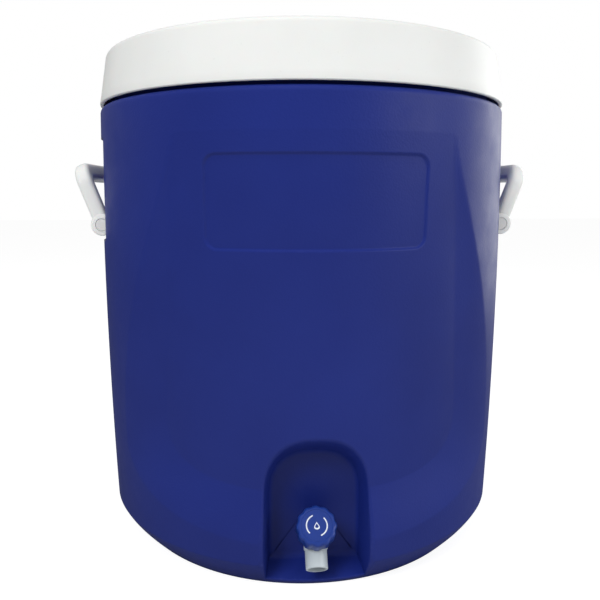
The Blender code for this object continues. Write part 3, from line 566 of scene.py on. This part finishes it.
LUG_R = 7.5 * MM
LUG_NEAR = 36.7 * MM
LUG_FAR = 46.7 * MM
LUG_ROOT = 2 * MM         # how far the ear's root spreads inside the pocket face
LUG_FOOT = 0.4 * MM       # and just outside it
LUG_FOOT_OUT = 1.2 * MM
PIN_HOLE_R = 3.3 * MM
FILL_HOLE_R = 12.3 * MM   # foam filling hole in the base
FILL_HOLE_Y = 80 * MM
FILL_HOLE_DEPTH = 2.1 * MM


def lug_tool(side, front):
    """One moulded ear beside a handle arm."""
    pivot = HANDLE_PIVOT["right" if side > 0 else "left"]
    x, z = abs(pivot.x), pivot.z
    root = POCKET_FACE_X - 3 * MM
    foot = POCKET_FACE_X + LUG_FOOT_OUT
    section = [(root, z + LUG_R + LUG_ROOT), (foot, z + LUG_R + LUG_FOOT)]
    section += arc(x, z, LUG_R, 90, -90, 20)
    section += [(foot, z - LUG_R - LUG_FOOT), (root, z - LUG_R - LUG_ROOT)]
    rings = [[(side * a, front * y, b) for a, b in section] for y in (LUG_NEAR, LUG_FAR)]
    return from_rings("lug", rings, BLUE)


def along_y(x, y, z):
    """Matrix that lays local Z along +Y at a point."""
    return Matrix.Translation((x, y, z)) @ Matrix.Rotation(-math.pi / 2, 4, "X")


# Stretches of (start, end, step): degrees round the body and millimetres up it, finer where it bends
SHELL_ANGLES = ((-180, -114, 1.2), (-114, -107, 0.3), (-107, -73, 0.8), (-73, -66, 0.3),
                (-66, -30, 0.6), (-30, 30, 0.3), (30, 66, 0.6), (66, 73, 0.3),
                (73, 107, 0.8), (107, 114, 0.3), (114, 180, 1.2))
SHELL_LEVELS = ((0, 27, 1.2), (27, 135, 1.0), (135, 270, 1.8), (270, 283, 0.7),
                (283, 343, 1.4), (343, 352, 0.7), (352, 362, 1.5), (362, 371, 0.7),
                (371, 390, 1.5), (390, 395, 0.5))
INNER_LEVELS = (388, 374, 371, 340, 300, 281, 273, 270, 200, 150, 141, 139, 100, 60, 30, 14, SHELL_WALL / MM)
POCKET_LEVELS = {371: 365, 273: 279}  # inner rings beside the pocket, and the height each one follows
DEGREE = math.pi / 180
BEHIND_HALF_ANGLE = 24 * DEGREE   # stretch of inner wall that passes behind the alcove
BEHIND_TOP_Z = 140 * MM


def inner_wall(angles, level):
    """One ring of the shell's inner wall, kept behind the pockets and the alcove."""
    follow = POCKET_LEVELS.get(level, level) * MM
    wall = body_radius(angles, np.full_like(angles, follow)) - SHELL_WALL
    behind = (ALCOVE_BACK_R - SHELL_WALL) / np.maximum(np.cos(angles), 0.5)
    near = (np.abs(angles) < BEHIND_HALF_ANGLE) & (level * MM < BEHIND_TOP_Z)
    return ring_at(angles, np.where(near, np.minimum(wall, behind), wall), level * MM)


def make_shell():
    """Fine outer shell: panel, plate recess, pockets, alcove, lugs and the neck."""
    angles = np.array(spread(*SHELL_ANGLES)[:-1]) * DEGREE
    rings = [ring_at(angles, body_radius(angles, np.full_like(angles, z)), z)
             for z in np.array(spread(*SHELL_LEVELS)) * MM]
    neck = ((NECK_R + 2 * MM, SHOULDER_Z), (NECK_R + 0.5 * MM, SHOULDER_Z + 0.6 * MM),
            (NECK_R, SHOULDER_Z + 2.2 * MM), (NECK_R, NECK_TOP_Z - 1.2 * MM),
            (NECK_R - 1.2 * MM, NECK_TOP_Z), (NECK_R - SHELL_WALL, NECK_TOP_Z),
            (NECK_R - SHELL_WALL, SHOULDER_Z - SHELL_WALL))
    rings += [ring_at(angles, radius, z) for radius, z in neck]
    rings += [inner_wall(angles, level) for level in INNER_LEVELS]
    shell = from_rings("shell_skin", rings, BLUE)
    combine(shell, "DIFFERENCE", [alcove_tool()])
    combine(shell, "UNION", [lug_tool(side, front) for side in (-1, 1) for front in (-1, 1)])
    middle, half = (LUG_NEAR + LUG_FAR) / 2, (LUG_FAR - LUG_NEAR) / 2 + 0.5 * MM
    holes = [cylinder(PIN_HOLE_R, -half, half, 32, along_y(pivot.x, front * middle, pivot.z))
             for pivot in HANDLE_PIVOT.values() for front in (-1, 1)]
    holes.append(cylinder(SHANK_R + FIT, 0, 30 * MM, 48, along_y(0, -ALCOVE_BACK_R - 10 * MM, SHANK_Z)))
    holes.append(cylinder(FILL_HOLE_R, -2 * MM, FILL_HOLE_DEPTH, 48,
                          Matrix.Translation((0, FILL_HOLE_Y, 0))))
    combine(shell, "DIFFERENCE", holes)
    shade(shell, 38)
    return finish_piece(shell, "tank", "blue_shell", "outer_shell")


# ---------------------------------------------------------------- lid and liner

LID_LOW_Z = 397.3 * MM
LID_TOP_Z = 441.5 * MM
LID_LOW_R = 190 * MM
LID_TOP_R = 182.5 * MM
LID_WALL = 3 * MM
LID_FILLET = 5 * MM
LID_RIM = 16 * MM
LID_DISH = 3 * MM


def lid_side(z):
    """Outside radius of the lid skirt at a height."""
    return LID_LOW_R + (LID_TOP_R - LID_LOW_R) * (z - LID_LOW_Z) / (LID_TOP_Z - LID_LOW_Z)


def make_lid():
    """Fine lid skin with a soft top edge, raised rim and shallow dish."""
    top_r = lid_side(LID_TOP_Z - LID_FILLET)
    rim_r = top_r - LID_RIM
    dish_z = LID_TOP_Z - LID_DISH
    top = rounded([(0, dish_z), (rim_r - 4 * MM, dish_z), (rim_r, LID_TOP_Z),
                   (top_r - LID_FILLET, LID_TOP_Z)], 4 * MM, 6)
    edge = arc(top_r - LID_FILLET, LID_TOP_Z - LID_FILLET, LID_FILLET, 90, 3, 10)
    under = dish_z - LID_WALL
    skirt = [(lid_side(LID_LOW_Z + 8 * MM), LID_LOW_Z + 8 * MM)]
    skirt += arc(LID_LOW_R - 1.0 * MM, LID_LOW_Z + 1.0 * MM, 1.0 * MM, 0, -90, 4)
    inner = rounded([(LID_LOW_R - LID_WALL, LID_LOW_Z), (lid_side(under) - LID_WALL, under),
                     (0, under)], 3 * MM, 4)
    lid = lathe("lid_skin", top + edge + skirt + inner, WHITE, 288)
    return finish_piece(lid, "lid", "white_plastic", "lid_shell")


LINER_FLOOR_Z = 24 * MM
LINER_TOP_R = 155 * MM
LINER_LOW_R = 136 * MM
LINER_WALL = 3 * MM
LINER_CORNER = 4 * MM     # slanted outer corner under the liner
FLANGE_TOP_Z = 421.3 * MM
PAN_WALL = 2.5 * MM
PAN_PLUG_CLEAR = 3.5 * MM
PAN_RINGS = (120 * MM, 80 * MM, 40 * MM)
PAN_RING_DEPTH = 1.2 * MM
GASKET_IN_R = 160 * MM
GASKET_SOFT = 0.5 * MM


def liner_radius(z):
    """Inside radius of the liner at a height."""
    return LINER_LOW_R + (LINER_TOP_R - LINER_LOW_R) * (z - LINER_FLOOR_Z) / (NECK_TOP_Z - LINER_FLOOR_Z)


def make_liner():
    """Fine inner tank with a rolled mouth and a filleted floor."""
    low_out = LINER_FLOOR_Z - LINER_WALL
    inside = rounded([(0, LINER_FLOOR_Z), (liner_radius(LINER_FLOOR_Z), LINER_FLOOR_Z),
                      (liner_radius(FLANGE_TOP_Z), FLANGE_TOP_Z), (NECK_R, FLANGE_TOP_Z)], 3.2 * MM, 6)
    outside = [(NECK_R, NECK_TOP_Z + FIT), (liner_radius(NECK_TOP_Z) + LINER_WALL, NECK_TOP_Z + FIT)]
    outside += [(liner_radius(low_out + LINER_CORNER) + LINER_WALL, low_out + LINER_CORNER),
                (LINER_LOW_R + LINER_WALL - LINER_CORNER, low_out), (0, low_out)]
    liner = lathe("liner_skin", inside + outside, LINER_WHITE, 240)
    hole = cylinder(SHANK_R + FIT, 0, 60 * MM, 48, along_y(0, -ALCOVE_BACK_R, SHANK_Z))
    seat_y = -liner_radius(SHANK_Z) + SPOT_DEPTH
    seat = cylinder(SPOT_R, 0, 20 * MM, 48, along_y(0, seat_y, SHANK_Z))
    combine(liner, "DIFFERENCE", [hole, seat])
    shade(liner)
    return finish_piece(liner, "tank", "white_liner", "inner_liner")


def make_lid_pan():
    """Fine pan under the lid, with stiffening rings."""
    low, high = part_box("lid_liner")
    flange_z = high.z - PAN_WALL
    plug_r = LINER_TOP_R - PAN_PLUG_CLEAR
    inner_r, inner_z = plug_r - PAN_WALL, low.z + PAN_WALL
    inside = rounded([(0, inner_z), (inner_r, inner_z), (inner_r, high.z)], 4 * MM, 4)
    outside = [(high.x, high.z), (high.x, flange_z)]
    floor = [(high.x, flange_z), (plug_r, flange_z), (plug_r, low.z)]
    raised = low.z + PAN_RING_DEPTH
    for ring in PAN_RINGS:
        floor += [(ring + 5 * MM, low.z), (ring + 3 * MM, raised),
                  (ring - 3 * MM, raised), (ring - 5 * MM, low.z)]
    floor.append((0, low.z))
    pan = lathe("lid_pan", inside + outside + rounded(floor, 2 * MM, 4)[1:], LINER_WHITE, 240)
    return finish_piece(pan, "lid", "white_liner", "lid_liner")


def make_gasket():
    """Fine flat seal with soft edges."""
    low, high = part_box("lid_gasket")
    soft = GASKET_SOFT
    inner, outer = GASKET_IN_R + soft, high.x - soft
    bottom, top = low.z + soft, high.z - soft
    profile = arc(outer, top, soft, 90, 0, 3) + arc(outer, bottom, soft, 0, -90, 3)
    profile += arc(inner, bottom, soft, 270, 180, 3) + arc(inner, top, soft, 180, 90, 3)
    return finish_piece(lathe("lid_seal", profile, RUBBER, 200), "lid", "rubber", "lid_gasket")


# ---------------------------------------------------------------- handles

HANDLE_LEAN = math.radians(20)
HANDLE_HALF = 61 * MM
HANDLE_ARM = 14 * MM
HANDLE_THICK = 14 * MM
HANDLE_RISE = 58 * MM
HANDLE_GRIP = 16 * MM
HANDLE_TAIL = 4 * MM
HANDLE_CORNER = 19 * MM
HANDLE_POWER = 3          # superellipse power of the bail's section
HANDLE_FINE = 0.985       # keeps the fine section inside the faceted one's box
HANDLE_EYE_R = 9.9 * MM
HANDLE_EYE_SOFT = 1.2 * MM
PIN_HEAD_R = 5.8 * MM
PIN_HEAD_SINK = 3.0 * MM


def rounded_share(share):
    """Coordinate of a superellipse for a cosine or a sine."""
    return math.copysign(abs(share) ** (2 / HANDLE_POWER), share)


def handle_rings(steps=14, around=48):
    """Sections of the bail from one arm's end to the other, in its own frame."""
    side, top = HANDLE_HALF - HANDLE_ARM / 2, HANDLE_RISE - HANDLE_GRIP / 2
    bend = HANDLE_CORNER - HANDLE_ARM / 2
    thin, wide = (HANDLE_ARM / 2 - FIT) * HANDLE_FINE, HANDLE_GRIP / 2 * HANDLE_FINE
    spine = [(side, -HANDLE_TAIL, 0, thin)]
    for i, (x, y) in enumerate(arc(side - bend, top - bend, bend, 0, 90, steps)):
        spine.append((x, y, math.pi / 2 * i / steps, thin + (wide - thin) * i / steps))
    spine += [(-x, y, math.pi - out, half) for x, y, out, half in reversed(spine)]
    rings = []
    for x, y, out, half in spine:
        ring = []
        for i in range(around):
            turn = 2 * math.pi * i / around
            across = half * rounded_share(math.cos(turn))
            ring.append((x + across * math.cos(out), y + across * math.sin(out),
                         HANDLE_THICK / 2 * HANDLE_FINE * rounded_share(math.sin(turn))))
        rings.append(ring)
    return rings


def handle_eye(pivot, front, around=64):
    """Round end of one arm, its edges softened."""
    middle, half = front * (HANDLE_HALF - HANDLE_ARM / 2), HANDLE_ARM / 2
    soft, part = HANDLE_EYE_SOFT, 0.3 * HANDLE_EYE_SOFT
    turns = [2 * math.pi * i / around for i in range(around)]
    rings = []
    for inset, y in ((soft, -half), (part, part - half), (0, soft - half),
                     (0, half - soft), (part, half - part), (soft, half)):
        radius = HANDLE_EYE_R - inset
        rings.append([(pivot.x + radius * math.cos(a), middle + y, pivot.z + radius * math.sin(a))
                      for a in turns])
    return from_rings("handle_eye", rings, HANDLE_WHITE)


def make_handle(side, word):
    """Fine bail handle swept along its spine, with a round eye at each arm's end."""
    bail = from_rings("bail_" + word, handle_rings(), HANDLE_WHITE)
    lean, rise = side * math.sin(HANDLE_LEAN), math.cos(HANDLE_LEAN)
    turn = Matrix(((0, lean, rise), (1, 0, 0), (0, rise, -lean))).to_4x4()
    pivot = HANDLE_PIVOT[word]
    bail.data.transform(Matrix.Translation(pivot) @ turn)
    combine(bail, "UNION", [handle_eye(pivot, front) for front in (-1, 1)])
    reach = 75 * MM
    tools = [cylinder(PIN_HOLE_R, -reach, reach, 32, along_y(pivot.x, 0, pivot.z))]
    for front in (-1, 1):
        sink = Matrix.Translation((pivot.x, front * (HANDLE_HALF - PIN_HEAD_SINK), pivot.z))
        sink = sink @ Matrix.Rotation(-front * math.pi / 2, 4, "X")
        tools.append(cylinder(PIN_HEAD_R, 0, 10 * MM, 40, sink))
    combine(bail, "DIFFERENCE", tools)
    shade(bail, 40)
    return finish_piece(bail, "handle_" + word, "white_plastic", "handle_" + word)


# ---------------------------------------------------------------- tap

TILT = Matrix.Translation(TAP_CENTRE) @ Matrix.Rotation(math.radians(45), 4, "X")
SPOUT_TILT = Matrix.Translation(TAP_CENTRE) @ Matrix.Rotation(math.radians(135), 4, "X")
SPOUT_R = 9 * MM
SPOUT_BORE_R = 7.25 * MM
SPOUT_LEN = 28 * MM
BALL_R = 11.5 * MM
VALVE_NECK_R = 11 * MM
VALVE_NECK_TOP = 12 * MM
CHAMBER_R = 7.3 * MM
SEAT_AT = -2.5 * MM       # valve seat, measured along the knob axis
PORT_R = 4 * MM
PORT_LOW = -8 * MM
INLET_BACK = 6.5 * MM     # from the tap's centre back to the inlet bore's end
INLET_DROP = 1 * MM       # the inlet bore runs this far below the shank's axis
FLANGE_R = 13 * MM
FLANGE_H = 4 * MM
FLANGE_GAP = 2 * FIT + 2 * MM   # outer gasket between flange and alcove wall
COLLAR_R = SPOUT_R + 0.8 * MM
COLLAR_LOW = 3 * MM
COLLAR_TOP = 13 * MM


def turned_tool(profile, matrix, steps=72):
    """A turned tool solid moved by a matrix."""
    made = lathe("turned_tool", profile, SPOUT_GREY, steps)
    made.data.transform(matrix)
    return made


def make_tap_body():
    """Fine elbow: ball, barrel, spout with a softened rim, collar, shank and flange."""
    shank_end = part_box("tap_body")[1].y
    flange_back = -ALCOVE_BACK_R - FLANGE_GAP
    bm = bmesh.new()
    bmesh.ops.create_uvsphere(bm, u_segments=66, v_segments=33, radius=BALL_R - 0.05 * MM)
    bm.transform(TILT)
    mesh = bpy.data.meshes.new("tap_elbow")
    bm.to_mesh(mesh)
    bm.free()
    body = link("tap_elbow", mesh, SPOUT_GREY)
    barrel = [(0, VALVE_NECK_TOP)] + arc(VALVE_NECK_R - MM, VALVE_NECK_TOP - MM, MM, 90, 0, 4)
    barrel += [(VALVE_NECK_R, MM), (0, MM)]
    rim, edge = 0.5 * MM, 0.8 * MM
    spout = [(0, SPOUT_LEN)] + arc(SPOUT_R - rim, SPOUT_LEN - rim, rim, 90, 0, 4)
    spout += [(SPOUT_R, COLLAR_TOP), (COLLAR_R, COLLAR_TOP - edge), (COLLAR_R, COLLAR_LOW), (0, COLLAR_LOW)]
    shank = cylinder(SHANK_R, 0, shank_end - flange_back + MM, 64, along_y(0, flange_back - MM, SHANK_Z))
    flange = [(0, FLANGE_H), (FLANGE_R, FLANGE_H), (FLANGE_R, edge), (FLANGE_R - edge, 0), (0, 0)]
    combine(body, "UNION", [turned_tool(barrel, TILT), turned_tool(spout, SPOUT_TILT), shank,
                            turned_tool(flange, along_y(0, flange_back - FLANGE_H, SHANK_Z))])
    inlet_y = TAP_CENTRE.y + INLET_BACK
    bores = [cylinder(CHAMBER_R, SEAT_AT, VALVE_NECK_TOP + MM, 64, TILT),
             cylinder(PORT_R, PORT_LOW, SEAT_AT + MM, 48, TILT),
             cylinder(SPOUT_BORE_R, 2 * MM, SPOUT_LEN + MM, 72, SPOUT_TILT),
             cylinder(SHANK_BORE_R, 0, shank_end + MM - inlet_y, 48,
                      along_y(0, inlet_y, SHANK_Z - INLET_DROP))]
    combine(body, "DIFFERENCE", bores)
    shade(body, 30)
    return finish_piece(body, "tank", "grey_plastic", "tap_body")


KNOB_R = 16.4 * MM
KNOB_LOBES = 12
KNOB_SCALLOP = 0.9 * MM
KNOB_LOW = 9.5 * MM
KNOB_TOP = 24.5 * MM
KNOB_FACE_R = 12.4 * MM
KNOB_SINK = 0.35 * MM
KNOB_CUP_R = 11.3 * MM    # hollow over the bonnet
KNOB_CUP_TOP = 12.6 * MM
KNOB_FLUTE_POWER = 1.3
SOCKET_R = 3.5 * MM       # six-sided drive socket
SOCKET_TOP = 22.6 * MM
STEM_CLEAR_R = 4.3 * MM


def make_knob():
    """Fine scalloped knob with soft edges and a sunk round face."""
    turn = np.linspace(0, 2 * math.pi, KNOB_LOBES * 24, endpoint=False)
    wave = KNOB_SCALLOP * ((1 - np.cos(KNOB_LOBES * turn)) / 2) ** KNOB_FLUTE_POWER

    def ring(z, inset, flute=1.0, radius=KNOB_R):
        r = radius - inset - wave * flute
        return np.stack([r * np.cos(turn), r * np.sin(turn), np.full_like(turn, z)], 1)

    low, top, cup = KNOB_LOW, KNOB_TOP, KNOB_CUP_TOP
    rings = [ring(cup, 0, 0, 5 * MM), ring(cup, 0, 0, KNOB_CUP_R), ring(low, 0, 0, KNOB_CUP_R),
             ring(low, 1.0 * MM), ring(low + 0.3 * MM, 0.3 * MM), ring(low + 1.0 * MM, 0),
             ring(top - 2.2 * MM, 0), ring(top - 1.2 * MM, 0.35 * MM), ring(top - 0.5 * MM, 0.95 * MM),
             ring(top - 0.12 * MM, 1.8 * MM, 0.8), ring(top, 2.7 * MM, 0.5),
             ring(top, 0, 0, KNOB_FACE_R + 0.3 * MM), ring(top - KNOB_SINK, 0, 0, KNOB_FACE_R),
             ring(top - KNOB_SINK, 0, 0, 6 * MM)]
    knob = from_rings("knob_cap", rings, KNOB_BLUE)
    socket = cylinder(SOCKET_R, cup - MM, SOCKET_TOP, 6)
    clear = cylinder(STEM_CLEAR_R, cup - 0.9 * MM, cup + 3.3 * MM, 32)
    combine(knob, "DIFFERENCE", [socket, clear])
    knob.data.transform(TILT)
    shade(knob, 32)
    return finish_piece(knob, "tap_knob", "blue_knob", "tap_knob")


INK_HIGH = 0.08 * MM
INK_SUNK = 0.02 * MM
ARC_R = 8.3 * MM
ARC_WIDTH = 1.0 * MM
ARC_SWEEP = 115           # degrees
DROP_SIZE = 2.6 * MM
DROP_HOLLOW = 0.62        # size of the drop's inside against its outside


def printed(name, outline):
    """A thin raised print on the knob's face from a closed outline of (x, y)."""
    face = KNOB_TOP - KNOB_SINK
    bm = bmesh.new()
    low = [bm.verts.new((x, y, face - INK_SUNK)) for x, y in outline]
    high = [bm.verts.new((x, y, face + INK_HIGH)) for x, y in outline]
    bm.faces.new(low)
    bm.faces.new(high)
    for i in range(len(outline)):
        j = (i + 1) % len(outline)
        bm.faces.new((low[i], low[j], high[j], high[i]))
    bmesh.ops.recalc_face_normals(bm, faces=bm.faces)
    bm.transform(TILT)
    mesh = bpy.data.meshes.new(name)
    bm.to_mesh(mesh)
    bm.free()
    return finish_piece(link(name, mesh, INK), "tap_knob", "blue_knob")


def drop_outline(scale, steps=48):
    """Outline of a drop, from its point round the right side and back up the left."""
    points = []
    for i in range(steps + 1):
        t = 2 * math.pi * i / steps
        x = math.sin(t) * math.sin(t / 2) ** 1.6
        points.append((DROP_SIZE * 1.25 * scale * x, DROP_SIZE * 1.15 * scale * math.cos(t) - 0.15 * MM))
    return points


def make_prints():
    """Two turning-direction arcs and a small drop."""
    for number, start in enumerate((110, -70)):
        end = start + ARC_SWEEP
        outline = arc(0, 0, ARC_R - ARC_WIDTH / 2, start, end, 24)
        outline += arc(0, 0, ARC_R + ARC_WIDTH / 2, end, start, 24)
        printed(f"print_arc_{number + 1}", outline)
    outer, inner = drop_outline(1.0), drop_outline(DROP_HOLLOW)
    half = len(outer) // 2
    printed("print_drop_right", outer[:half + 1] + inner[:half + 1][::-1])
    printed("print_drop_left", outer[half:] + inner[half:][::-1])


# ---------------------------------------------------------------- carried-over nodes

NODE_FINISH = {
    "foam_insulation": FOAM, "lid_foam": FOAM, "foam_fill_plug": WHITE, "tap_bonnet": SPOUT_GREY,
    "tap_stem": SPOUT_GREY, "tap_nut": SPOUT_GREY, "tap_sleeve": WHITE, "tap_outer_gasket": RUBBER,
    "tap_inner_gasket": RUBBER, "valve_washer": RUBBER, "stem_seal": RUBBER,
    "handle_pin_left_front": PIN_WHITE, "handle_pin_left_rear": PIN_WHITE,
    "handle_pin_right_front": PIN_WHITE, "handle_pin_right_rear": PIN_WHITE,
}


def finish_nodes():
    """Give every CAD node that stays its procedural material."""
    for name, material in NODE_FINISH.items():
        for slot in frame["nodes"][name].material_slots:
            slot.material = material


# ---------------------------------------------------------------- stage

LENS_MM = 37.54
CAMERA_DISTANCE = 642.6 * MM
CAMERA_HEIGHT = 319.8 * MM
CAMERA_SIDE = -1.1 * MM
CAMERA_PITCH = math.radians(9.74)
YAW = math.radians(3.9)       # how far the front points to the camera's right


def make_camera():
    """Camera close in front, a little above the middle, looking slightly down."""
    data = bpy.data.cameras.new("camera")
    data.lens = LENS_MM
    data.sensor_width = 36
    data.clip_start = 0.01
    camera = bpy.data.objects.new("camera", data)
    bpy.context.scene.collection.objects.link(camera)
    place = Matrix.Translation((CAMERA_SIDE, -CAMERA_DISTANCE, CAMERA_HEIGHT))
    camera.matrix_world = (Matrix.Rotation(-YAW, 4, "Z") @ place
                           @ Matrix.Rotation(math.pi / 2 - CAMERA_PITCH, 4, "X"))
    bpy.context.scene.camera = camera


def area_light(name, place, target, size, power, glossy=True):
    """Soft rectangular lamp aimed at a point, with or without its own reflection."""
    data = bpy.data.lights.new(name, "AREA")
    data.shape = "RECTANGLE"
    data.size, data.size_y = size
    data.energy = power
    lamp = bpy.data.objects.new(name, data)
    bpy.context.scene.collection.objects.link(lamp)
    lamp.location = place
    lamp.visible_glossy = glossy
    lamp.rotation_euler = (Vector(target) - Vector(place)).to_track_quat("-Z", "Y").to_euler()


def make_world():
    """White where the camera sees it, a plain soft grey as light."""
    world = bpy.data.worlds.new("studio")
    bpy.context.scene.world = world
    world.use_nodes = True
    tree = world.node_tree
    tree.nodes.clear()
    output = tree.nodes.new("ShaderNodeOutputWorld")
    seen = tree.nodes.new("ShaderNodeBackground")
    seen.inputs["Color"].default_value = (1, 1, 1, 1)
    seen.inputs["Strength"].default_value = 1.0
    light = tree.nodes.new("ShaderNodeBackground")
    light.inputs["Strength"].default_value = 0.42
    mix = tree.nodes.new("ShaderNodeMixShader")
    path = tree.nodes.new("ShaderNodeLightPath")
    tree.links.new(path.outputs["Is Camera Ray"], mix.inputs[0])
    tree.links.new(light.outputs[0], mix.inputs[1])
    tree.links.new(seen.outputs[0], mix.inputs[2])
    tree.links.new(mix.outputs[0], output.inputs[0])


def make_floor():
    """Floor that glows white for the camera, keeps a soft shadow and looks dull in reflections."""
    made = bpy.data.materials.new("floor")
    made.use_nodes = True
    tree = made.node_tree
    tree.nodes.clear()
    output = tree.nodes.new("ShaderNodeOutputMaterial")
    diffuse = tree.nodes.new("ShaderNodeBsdfDiffuse")
    path = tree.nodes.new("ShaderNodeLightPath")
    pale = mix_colour(tree, path.outputs["Is Glossy Ray"], (0.86, 0.86, 0.86), (0.22, 0.22, 0.22))
    tree.links.new(pale, diffuse.inputs["Color"])
    glow = tree.nodes.new("ShaderNodeEmission")
    glow.inputs["Strength"].default_value = 1.36
    both = tree.nodes.new("ShaderNodeMixShader")
    share = remap(tree, path.outputs["Is Camera Ray"], 0, 1, 0, 0.64)
    tree.links.new(share, both.inputs[0])
    tree.links.new(diffuse.outputs[0], both.inputs[1])
    tree.links.new(glow.outputs[0], both.inputs[2])
    tree.links.new(both.outputs[0], output.inputs[0])
    bpy.ops.mesh.primitive_plane_add(size=14, location=(0, 0, -0.0002))
    floor = bpy.context.object
    floor.name = "floor"
    floor.data.materials.append(made)


make_camera()
make_world()
make_floor()
area_light("key", (-0.7, -1.1, 1.2), (0, 0, 0.25), (0.5, 0.5), 11.5, False)
area_light("fill", (1.4, -0.9, 0.8), (0, 0, 0.25), (0.9, 0.9), 8)
area_light("top", (-0.1, -0.7, 1.9), (0, 0, 0.25), (0.9, 0.9), 10.5, False)
area_light("rear", (1.45, 0.75, 0.6), (0, 0, 0.25), (1.0, 1.2), 11.5)

make_shell()
make_lid()
make_liner()
make_lid_pan()
make_gasket()
for handle_side, handle_word in ((-1, "left"), (1, "right")):
    make_handle(handle_side, handle_word)
make_tap_body()
make_knob()
make_prints()
finish_nodes()

scene = bpy.context.scene
scene.view_settings.view_transform = "Standard"
